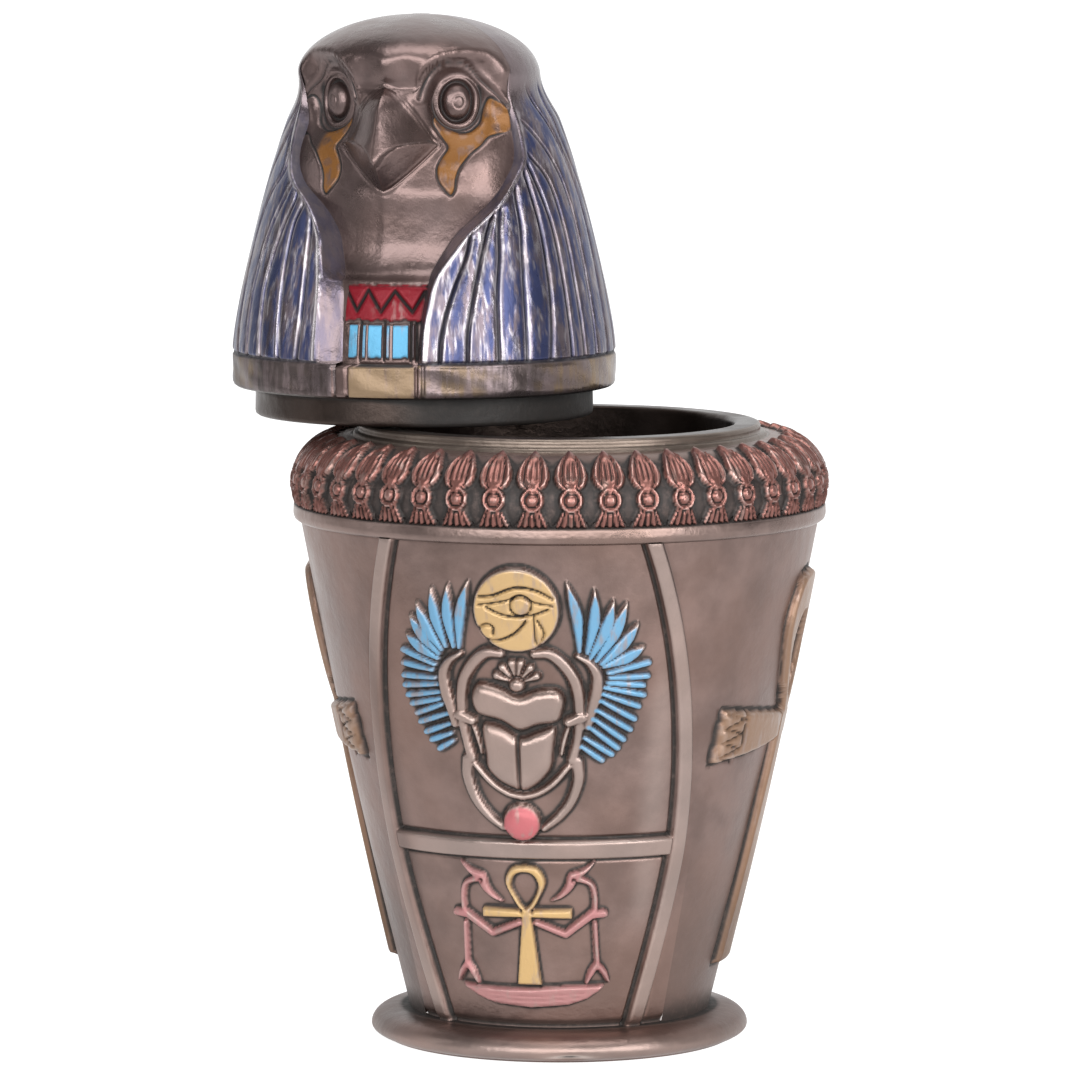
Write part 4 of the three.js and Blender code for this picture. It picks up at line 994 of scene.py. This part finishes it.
def face_reach(angle, z):
    """Reach of the face, with dark wash and painted shade, and the gold of the cheek marks."""
    a = np.abs(angle)
    base = face_form(angle, z)
    wash = np.zeros(a.shape)

    # Forehead and brow over the sockets, with a hollow each side of the ridge above the beak
    upper = crown_reach(angle, z) - along_table(FOREHEAD, z) * (1 - smooth(a, 24, 48))
    upper -= 0.55 * bell(a - 8.5, 4.2) * bell(z - 46.2, 1.7)
    upper += 0.3 * bell(a, 3.0) * bell(z - 45.9, 2.4)
    brow = np.interp(a, *zip(*BROW))
    gap = face_distance(a, z, BROW)
    cove = np.clip(1 - gap / np.interp(a, [12, 20, 45, 60], [0.9, 2.3, 2.6, 3.6]), 0, 1) ** 1.9
    r = np.where(z > brow, upper, lerp(base, upper, cove))
    on_brow = smooth(a, 12, 14) * (1 - smooth(a, 50, 60))
    r += 0.22 * bell(gap, 0.42) * on_brow
    # Painted shade beneath the brow and in the hollow each side of the ridge above the beak
    wash += 0.3 * bell(gap - 0.9, 0.5) * on_brow * (z < brow) + 0.35 * bell(a - 8, 3.2) * bell(z - 44.9, 1.2)

    # Beak over jaw
    half = np.interp(z, *zip(*BEAK_HALF))
    share = np.clip(a / half, 0, 1)
    side = face_form(half, z)
    ridge = along_table(BEAK_RIDGE, z)
    beak = ridge - np.maximum(0, ridge - side) * (np.hypot(share, 0.06) - 0.06) / 0.9418
    mouth = np.interp(a, *zip(*MOUTH))
    low = np.interp(a, *zip(*JAW))
    rise = np.clip((z - low) / np.maximum(mouth - low, 0.3), 0, 1)
    edge_share = np.clip(a / JAW_HALF, 0, 1)
    lip = lerp(24.4, 18.2, edge_share**1.08)
    chin = face_form(a, low)
    jaw = lerp(chin, lip, rise**0.8)
    r = np.where((a < half) & (z > mouth) & (z < BEAK_TOP), beak, r)
    r = np.where((a < JAW_HALF) & (z <= mouth) & (z > low), jaw, r)
    on_side = (a < 23) & (z > 28.5)
    for line, inner, outer in ((MOUTH[:-1], 0.22, 0.0), (JAW[:-1], 0.1, 0.16)):
        d = face_distance(a, z, line)
        r += on_side * (outer * bell(d - 0.15, 0.25) - inner * bell(d, 0.17))
        wash += on_side * 0.5 * bell(d, 0.16) * (inner > 0.15)
    d = face_distance(a, z, [(y, x) for x, y in BEAK_HALF[1:]])
    r += 0.2 * bell(d - 0.1, 0.24) * (z > 35)
    wash += 0.25 * bell(d - 0.5, 0.2) * (z > 35.6) * (a < half)

    # Eye: ball and lip in a socket, an edge below, and the fold of the lid over it
    u = np.radians(a - EYE[0]) * EYE_REACH
    v = z - EYE[1]
    ball = np.hypot(u / EYE_BALL[0], v / EYE_BALL[1])
    lip_gap = (np.hypot(u / EYE_LIP[0], v / EYE_LIP[1]) - 1) * 3.0
    edge_gap = (np.hypot(u / EYE_EDGE[0], v / EYE_EDGE[1]) - 1) * 3.7
    r = lerp(r, np.full(r.shape, EYE_REACH), np.exp(-((np.hypot(u, v) / 3.9) ** 6)))
    r += 1.25 * np.sqrt(np.clip(1 - ball**2, 0, 1)) - 0.12 * bell(ball - 0.36, 0.07)
    r -= 0.35 * bell(ball - 1.12, 0.09)
    r += 0.3 * bell(lip_gap, 0.3) + 0.15 * smooth(edge_gap, -0.9, -0.5) * (1 - smooth(edge_gap, -0.35, 0.0))
    under = 1 - smooth(v - 0.35 * u, 0.5, 2.5)
    r -= 0.34 * bell(edge_gap - 0.12, 0.2) * lerp(0.1, 1.0, under)
    wash += 0.95 * bell(ball - 1.12, 0.07) + 0.85 * bell(edge_gap - 0.12, 0.16) * lerp(0.1, 1.0, under)
    fold = face_distance(a, z, LID_FOLD)
    r += 0.28 * bell(fold - 0.55, 0.45) * (edge_gap > 0) * (gap > 0.6) - 0.26 * bell(fold, 0.2)
    wash += 0.6 * bell(fold, 0.17) + 0.3 * bell(fold - 0.7, 0.5) * (edge_gap > 0.2) * (edge_gap < 1.6)

    # Gold mark below the eye
    mark = Relief(a * MM_PER_DEGREE, z)
    at, d = mark.outline(curve([(x * MM_PER_DEGREE, y) for x, y in CHEEK_MARK], 4, True), 1.2)
    inside = np.full(a.size, 9.0)
    inside[at] = d
    inside = inside.reshape(a.shape)
    clear = smooth(edge_gap, 0.15, 0.4)
    open_end = 1 - smooth(a, 50, 55)
    r -= 0.3 * bell(inside, 0.17) * clear * open_end
    wash += 0.95 * bell(inside, 0.15) * clear * lerp(0.35, 1.0, open_end)
    gold = (1 - smooth(inside, -0.15, 0.05)) * clear * (1 - smooth(-angle, 33, 38))
    r += 0.1 * bell(a, 2.2) * smooth(z, 19, 22) * (1 - smooth(z, 27.5, 29))
    return r, wash, gold


COLLAR_ZIGZAG = [
    (-4.9, 15.3), (-2.9, 12.3), (-1.4, 15.2), (0.65, 12.2), (2.6, 15.1), (5.2, 12.2), (6.9, 15.0), (8.0, 13.0),
]
# The sky-blue blocks: left and right edges, and strength of the paint
COLLAR_BLOCKS = [
    (-3.9, -2.5, 1), (-1.9, -1.3, 0.8), (-1.1, 1.0, 1), (1.5, 2.1, 0.8), (2.4, 4.7, 1), (5.1, 5.5, 0.3),
]


def collar(angle, z, r):
    """The painted collar under the throat: a red band with a zigzag, then sky-blue blocks."""
    paint = np.zeros((*angle.shape, 3))
    cover = np.zeros(angle.shape)
    wash = np.zeros(angle.shape)
    x = np.radians(angle) * 24.5

    def band(low, high, left, right, soft=0.2):
        inside = smooth(z, low, low + soft) * (1 - smooth(z, high - soft, high))
        return inside * smooth(x, left, left + soft) * (1 - smooth(x, right - soft, right))

    wobble = 0.14 * np.sin(x * 1.9) + 0.09 * np.sin(x * 4.7 + 1)
    red = band(10.9 + wobble, 16.1 + 0.5 * wobble, -4.7, 7.5)
    r = r + 0.35 * red
    paint += red[..., None] * np.array(COLLAR_RED)
    cover = np.maximum(cover, red)
    line = bell(distance_to_path(x, z, COLLAR_ZIGZAG), 0.3) * red
    line = np.maximum(line, 0.55 * bell(z - 15.75 - 0.3 * wobble, 0.13) * red)
    r = r - 0.4 * line
    wash += line
    for left, right, strength in COLLAR_BLOCKS:
        block = band(5.7 + 0.5 * wobble, 10.5, left, right, 0.16)
        r = r + 0.28 * block
        own = (block * strength)[..., None]
        paint = paint * (1 - own) + own * np.array(COLLAR_BLUE)
        cover = np.maximum(cover, block * strength)
    for at in (-2.2, 1.25, 5.0, 5.8):
        line = bell(x - at, 0.17) * (z > 5.4) * (z < 10.7)
        r = r - 0.3 * line
        wash += 0.95 * line
    for level, strength, left, right in ((10.75, 0.6, -4.4, 6.5), (4.75, 1.0, -2.3, 5.2)):
        line = bell(z - level, 0.2) * smooth(x, left - 0.3, left + 0.3) * (1 - smooth(x, right - 0.3, right + 0.3))
        r = r - 0.3 * strength * line
        wash += strength * line
    return r, wash, paint, cover


def strands(side):
    return STRANDS_LEFT if side > 0 else STRANDS_RIGHT


def edge_angle(z, side):
    return along_table(WIG_EDGES, z, 1 if side > 0 else 2)


def inner_angle(z, side):
    return edge_angle(z, 1) - 0.9 if side > 0 else along_table(WIG_EDGES, z, 3)


def crease_angles(z, side):
    """Angle of each crease of the wig at the heights z, the front edge first, and how far each is from that edge."""
    edge = edge_angle(z, side)
    lines = [along_table(list(zip(STRAND_HEIGHTS, row)), z) for row in strands(side)]
    lines += [lerp(lines[-1], 180.0, k / BACK_STRANDS) for k in range(1, BACK_STRANDS)]
    least = [edge + 0.25 * (k + 1) for k in range(len(lines))]
    clear = [own - low for own, low in zip(lines, least)]
    lines = [np.maximum(own, low) for own, low in zip(lines, least)]
    return np.stack([edge, *lines, np.full(z.shape, 180.0)]), np.stack([0 * edge + 9, *clear, 0 * edge + 9])


def on_lid(angle, r, z):
    t = np.radians(angle + FACE_TURN)
    return np.stack([LID_SHIFT[0] + r * np.sin(t), LID_SHIFT[1] - r * np.cos(t), BRIM_UNDERSIDE + z], axis=-1)


def lid_grid(heights, place, surface):
    """Points of a lid piece: rows at the heights up to the crown, then rays from the crown's middle."""
    tilts = 90 * np.linspace(0, 1, CROWN_ROWS + 1)[1:] ** 1.25
    angle = place(heights[:, None])
    n = angle.shape[1]
    z = np.repeat(heights[:, None], n, axis=1)
    r = surface(angle, z)[0]
    up = np.radians(tilts)[:, None]
    low = np.zeros((len(tilts), n))
    high = np.full((len(tilts), n), 32.0)
    for _ in range(14):
        mid = (low + high) / 2
        level = np.minimum(CROWN_BASE + mid * np.sin(up), LID_TOP)
        inside = (mid * np.cos(up) < surface(place(level), level)[0]) & (CROWN_BASE + mid * np.sin(up) < LID_TOP)
        low, high = np.where(inside, mid, low), np.where(inside, high, mid)
    level = np.minimum(CROWN_BASE + low * np.sin(up), LID_TOP)
    return np.vstack([angle, place(level)]), np.vstack([r, low * np.cos(up)]), np.vstack([z, level])


def runs(*parts):
    """Evenly spaced numbers in stretches, each given as start, end and step."""
    return np.concatenate([np.arange(low, high - step / 3, step) for low, high, step in parts])


def lid_face():
    share = np.linspace(-1, 1, 309)[None, :]
    heights = np.append(runs((0.35, 17.2, 0.22), (17.2, 28.0, 0.45), (28.0, CROWN_BASE - 0.05, 0.135)), CROWN_BASE)

    def place(z):
        return np.where(share < 0, share * (inner_angle(z, -1) + 0.7), share * (inner_angle(z, 1) + 0.5))

    def surface(angle, z):
        r, wash, gold = face_reach(angle, z)
        r, more, paint, cover = collar(angle, z, r)
        wash = np.where(z < 17, more, wash)
        r = np.where(z < BRIM_HEIGHT - 0.3, np.maximum(brim_reach(angle, z), r), r)
        temple = smooth(np.abs(angle), 44, 55) * smooth(z, 38, 46)
        r = lerp(r, outer_reach(angle, z) - 0.02 - 0.13 * (1 - smooth(z, 43.5, 46)), temple)
        r = np.where(z > 47.5, np.minimum(r, outer_reach(angle, z) + 0.2), r)
        return r, wash, gold, paint, cover

    angle, r, z = lid_grid(heights, place, surface)
    _, wash, gold, paint, cover = surface(angle, z)
    low = (z < BRIM_HEIGHT - 0.3) * 1.0
    paint = lerp(paint, np.array(MARK_GOLD), gold[..., None])
    strip = bell(np.maximum(0, np.abs(angle - 3.0) - 9.6), 0.5)
    paint = lerp(paint, np.array(OLD_GOLD), (low * strip)[..., None])
    cover = np.maximum(np.maximum(cover * (1 - low), gold), 0.85 * low * strip)
    edge = np.minimum(np.abs(angle - inner_angle(z, 1)), np.abs(angle + inner_angle(z, -1)))
    wash = np.clip(wash + 0.6 * bell(edge, 1.0) * (z > 5.5) * (z < 42), 0, 1)
    dirt = np.sin(angle * 0.55 + z * 0.9) * np.sin(z * 1.7 - angle * 0.31)
    cover = cover * (1 - 0.35 * gold * smooth(dirt, 0.1, 0.8))
    data = {"paint": paint, "cover": cover, "wash": wash, "worn": 0.32 * smooth(z, 47.5, 51)}
    return grid_piece("lid_face", on_lid(angle, r, z), HEAD_METAL, "lid", data)


def brim_reach(angle, z):
    foot = 0.9 * (1 - dome(np.clip(z / 0.9, 0, 1)))
    top = 0.3 * smooth(z, BRIM_HEIGHT - 0.5, BRIM_HEIGHT)
    cuts = sum(bell(angle - at, 0.5) for at in (-11.4, -7.4, 13.6, 15.6))
    dents = 0.06 * np.sin(np.radians(angle) * 9 + z) + 0.05 * np.sin(np.radians(angle) * 23 + 1.3 * z)
    return BRIM_RADIUS - 0.08 - foot - top - 0.3 * cuts + dents * smooth(z, 0.5, 1.5)


def wig_side(side):
    """One half of the wig, from the face round to the back: angle, reach, height, and the colour fields."""
    fine = np.array([0, 0.045, 0.09, 0.14, 0.22, 0.36, 0.5, 0.64, 0.78, 0.86, 0.91, 0.955])
    coarse = np.array([0, 0.07, 0.15, 0.4, 0.7, 0.9])
    seen = len(strands(side)) + 1
    parts = [k + (fine if k < seen else coarse) for k in range(seen + BACK_STRANDS - 1)]
    wall = np.linspace(-1, 0, 8)[:-1]
    column = np.concatenate([wall, *parts, [seen + BACK_STRANDS - 1]])[None, :]
    on_wall = column < 0
    index = np.maximum(np.floor(column), 0).astype(int)
    share = column - index

    def creases(z):
        angles, clear = crease_angles(z, side)
        shape = (len(angles), z.shape[0], column.shape[1])
        angles, clear = np.broadcast_to(angles, shape), np.broadcast_to(clear, shape)
        at = np.broadcast_to(np.minimum(index, len(angles) - 2), shape[1:])[None]
        low = np.take_along_axis(angles, at, axis=0)[0]
        high = np.take_along_axis(angles, at + 1, axis=0)[0]
        near = np.take_along_axis(clear, at + (share > 0.5), axis=0)[0]
        place = np.where(on_wall, lerp(inner_angle(z, side) - 0.4, angles[0], column + 1), lerp(low, high, share))
        return place, near, angles[0], high - low

    def surface(place, z):
        _, clear, edge, pitch = creases(z)
        angle = side * place
        bare = outer_reach(angle, z)
        gap = np.minimum(share, 1 - share) * np.radians(np.maximum(pitch, 0.5)) * bare
        live = smooth(clear, 0.1, 2.0) * (z > BRIM_HEIGHT) * ~on_wall
        live = live * (1 - smooth(z, 41.0, 44.0))
        inner_side = ~((index == 0) & (share < 0.5))
        strand = dome(np.clip(gap / 1.3, 0, 1)) - 1
        groove = bell(gap, 0.2) * inner_side
        r = bare + live * (0.5 * strand * inner_side - 0.35 * groove)
        rim = bell((place - edge) * np.radians(1) * bare - 0.35, 0.5) * (z > BRIM_HEIGHT) * ~on_wall
        rim = rim * (1 - smooth(z, 38, 42))
        r = r + 0.18 * rim
        inner = np.minimum(lerp(face_form(angle, z), bare, 0.9 * smooth(z, 38, 46)), bare)
        r = np.where(on_wall & (z > BRIM_HEIGHT), lerp(inner, bare, np.clip(column + 1, 0, 1) ** 0.85), r)
        line = bell(z - BRIM_HEIGHT - 0.1, 0.2) * ~on_wall
        r = np.where(z < BRIM_HEIGHT, brim_reach(angle, z), r - 0.3 * line)
        r = np.where(z > CROWN_BASE, np.minimum(r, outer_reach(angle, z)), r)
        return r, groove * live, line, rim, live, gap

    place, r, z = lid_grid(WIG_HEIGHTS, lambda level: creases(level)[0], surface)
    _, groove, line, rim, live, gap = surface(place, z)
    low = z < BRIM_HEIGHT
    cap = np.interp(place, [55, 57, 71, 86, 180], [40.2, 40.6, 42.8, 44.0, 44.3])
    below_cap = (1 - smooth(z, cap - 2.2, cap + 0.8)) * (z > BRIM_HEIGHT + 0.2)
    cover = below_cap * (1 - 0.6 * bell(gap - 0.5, 0.25) * live) * (1 - 0.8 * rim) * (1 - 0.6 * on_wall)
    cover = np.where(low, 0.85, cover)
    shade = on_wall * smooth(z, 15, 21) * (1 - smooth(z, 37, 41)) * (0.35 if side > 0 else 0.55)
    wash = np.clip(groove * 0.95 + 0.85 * line + shade, 0, 1)
    worn = 0.8 * bell(gap - 0.45, 0.17) * live + 0.5 * rim + 0.08 * on_wall * (z > BRIM_HEIGHT)
    worn = np.clip(worn, 0, 1) * (1 - wash)
    return side * place, r, z, cover, wash, worn, ~low * ~on_wall * (1 - smooth(z, 39, 43))


def lid_wig():
    near, far = wig_side(1), wig_side(-1)
    angle, r, z, cover, wash, worn, grain = [np.hstack([a, b[:, -2::-1]]) for a, b in zip(near, far)]
    turn = np.radians(angle)
    patch = 0.5 + 0.3 * np.sin(turn * 5 + 0.6) + 0.25 * np.sin(turn * 13 + z) * np.sin(z * 1.3)
    patch = smooth(patch + 0.25 * smooth(angle, 20, 60), 0.35, 1.0) * smooth(z, 0.3, 1.0)
    gold = lerp(np.array((0.055, 0.043, 0.040)), np.array(OLD_GOLD), patch[..., None])
    paint = np.where((z < BRIM_HEIGHT)[..., None], gold, np.array(WIG_BLUE))
    # Painted shade on the wig's two sides: less rubbed metal, fewer brushed lines and more dark there. The brim is
    # darker on the falcon's right side
    painted_side_shade = smooth(np.abs(angle), 46, 62) * (1 - smooth(np.abs(angle), 105, 135))
    worn, grain = worn * (1 - 0.5 * painted_side_shade) + 0.32 * smooth(z, 47.5, 51), grain * (1 - 0.55 * painted_side_shade)
    wash = np.clip(wash + 0.3 * smooth(-angle, 22, 45) * (z < BRIM_HEIGHT) + 0.2 * painted_side_shade, 0, 1)
    data = {"paint": paint, "cover": cover, "wash": wash, "worn": worn, "grain": grain}
    return grid_piece("lid_wig", on_lid(angle, r, z), WIG_METAL, "lid", data)


def lid_spigot():
    profile = along([
        [0.01, -SPIGOT_HEIGHT], [SPIGOT_RADIUS - 0.5, -SPIGOT_HEIGHT], [SPIGOT_RADIUS - 0.1, -SPIGOT_HEIGHT + 0.15],
        [SPIGOT_RADIUS, -SPIGOT_HEIGHT + 0.6], [SPIGOT_RADIUS - 0.05, -0.5], [SPIGOT_RADIUS - 0.25, 0.05],
        [BRIM_RADIUS - 0.95, 0.02], [BRIM_RADIUS - 0.6, 0.1], [BRIM_RADIUS - 0.3, 0.4],
    ], 0.4)
    angle = np.linspace(0, 360, 170, endpoint=False)
    a, k = np.meshgrid(angle, np.arange(len(profile)))
    r, z = profile[k, 0], profile[k, 1]
    # Painted shade where the spigot meets the brim and round the falcon's left side
    wash = bell(z, 0.6) * (r < BRIM_RADIUS - 1) + 0.9 * smooth(a, -5, 22) * (1 - smooth(a, 110, 160))
    data = unpainted(a.shape, wash=np.clip(wash * 0.8, 0, 1))
    return grid_piece("lid_spigot", on_lid(a, r, z), RIM_PAINTED_SHADE_METAL, "lid", data, True)


lid_face()
lid_wig()
lid_spigot()


# Floor, lights and camera

def surround():
    """A floor that curves up behind, as a paper sweep does, glowing as painted light: dim grey near the front and
    white further back.
    """
    turn = np.radians(np.linspace(0, 90, 12))
    bend = [(1.4 + 0.8 * sin(t), 0.8 - 0.8 * cos(t)) for t in turn]
    section = [(-3.0, 0.0), *bend, (2.2, 3.5)]
    verts = [(x, y, z) for y, z in section for x in (-4.0, 4.0)]
    faces = [(2 * k, 2 * k + 1, 2 * k + 3, 2 * k + 2) for k in range(len(section) - 1)]
    mesh = bpy.data.meshes.new("sweep")
    mesh.from_pydata(verts, [], faces)
    mesh.polygons.foreach_set("use_smooth", np.ones(len(faces), bool))
    sweep = bpy.data.objects.new("sweep", mesh)
    bpy.context.scene.collection.objects.link(sweep)
    paper = bpy.data.materials.new("glowing_backdrop_paper")
    paper.use_nodes = True
    shader = paper.node_tree.nodes["Principled BSDF"]
    shader.inputs["Roughness"].default_value = 0.8
    shader.inputs["Emission Color"].default_value = (1, 1, 1, 1)
    nodes, link = paper.node_tree.nodes, paper.node_tree.links.new
    place = nodes.new("ShaderNodeVectorMath")
    place.operation = "DOT_PRODUCT"
    place.inputs[1].default_value = (0.55, 1, 0)
    link(nodes.new("ShaderNodeTexCoord").outputs["Object"], place.inputs[0])
    # Painted light: the glow rises from dim near the front to white behind, while the colour stays grey
    for socket, low, high in (("Base Color", 0.26, 0.22), ("Emission Strength", 0.20, 0.97)):
        fade = nodes.new("ShaderNodeMapRange")
        fade.interpolation_type = "SMOOTHSTEP"
        for key, value in (("From Min", -0.34), ("From Max", -0.13), ("To Min", low), ("To Max", high)):
            fade.inputs[key].default_value = value
        link(place.outputs["Value"], fade.inputs["Value"])
        link(fade.outputs["Result"], shader.inputs[socket])
    mesh.materials.append(paper)

    world = bpy.data.worlds.new("studio")
    bpy.context.scene.world = world
    world.use_nodes = True
    world.node_tree.nodes["Background"].inputs["Color"].default_value = (1, 1, 1, 1)
    world.node_tree.nodes["Background"].inputs["Strength"].default_value = 0.30
    bpy.context.scene.view_settings.view_transform = "Standard"


def soft_box(name, place, aim, size, power):
    lamp = bpy.data.lights.new(name, "AREA")
    lamp.shape = "RECTANGLE"
    lamp.size, lamp.size_y = size
    lamp.energy = power
    thing = bpy.data.objects.new(name, lamp)
    thing.location = place
    thing.rotation_euler = (Vector(aim) - Vector(place)).to_track_quat("-Z", "Y").to_euler()
    bpy.context.scene.collection.objects.link(thing)


CAMERA_DISTANCE = 1.0
CAMERA_TURN = 10.0
CAMERA_RISE = 6.15
CAMERA_TARGET = (0.0, 0.0, 71.1 * MM)
CAMERA_SLIDE = -2.79 * MM
PIXELS_PER_METRE_AT_1_M = 7000
IMAGE_WIDTH = 1080
SENSOR = 36.0


def camera():
    a, e = radians(CAMERA_TURN), radians(CAMERA_RISE)
    back = Vector((sin(a) * cos(e), -cos(a) * cos(e), sin(e)))
    right = Vector((cos(a), sin(a), 0))
    up = back.cross(right)
    target = Vector(CAMERA_TARGET) + right * CAMERA_SLIDE
    data = bpy.data.cameras.new("camera")
    data.sensor_width = SENSOR
    data.lens = SENSOR * PIXELS_PER_METRE_AT_1_M / IMAGE_WIDTH
    data.clip_start, data.clip_end = 0.05, 20
    thing = bpy.data.objects.new("camera", data)
    thing.matrix_world = Matrix.Translation(target + back * CAMERA_DISTANCE) @ Matrix(
        (right, up, back)).transposed().to_4x4()
    bpy.context.scene.collection.objects.link(thing)
    bpy.context.scene.camera = thing


surround()
soft_box("key", (0.75, -0.55, 0.32), (0, 0, 0.07), (0.32, 0.7), 5)
soft_box("fill", (-0.85, -0.20, 0.30), (0, 0, 0.07), (0.20, 0.7), 0.8)
soft_box("front", (0.05, -1.15, 0.36), (0, 0, 0.07), (1.6, 0.6), 16)
soft_box("top", (0.1, -0.16, 1.0), (0, 0, 0.07), (0.7, 0.7), 6)
camera()
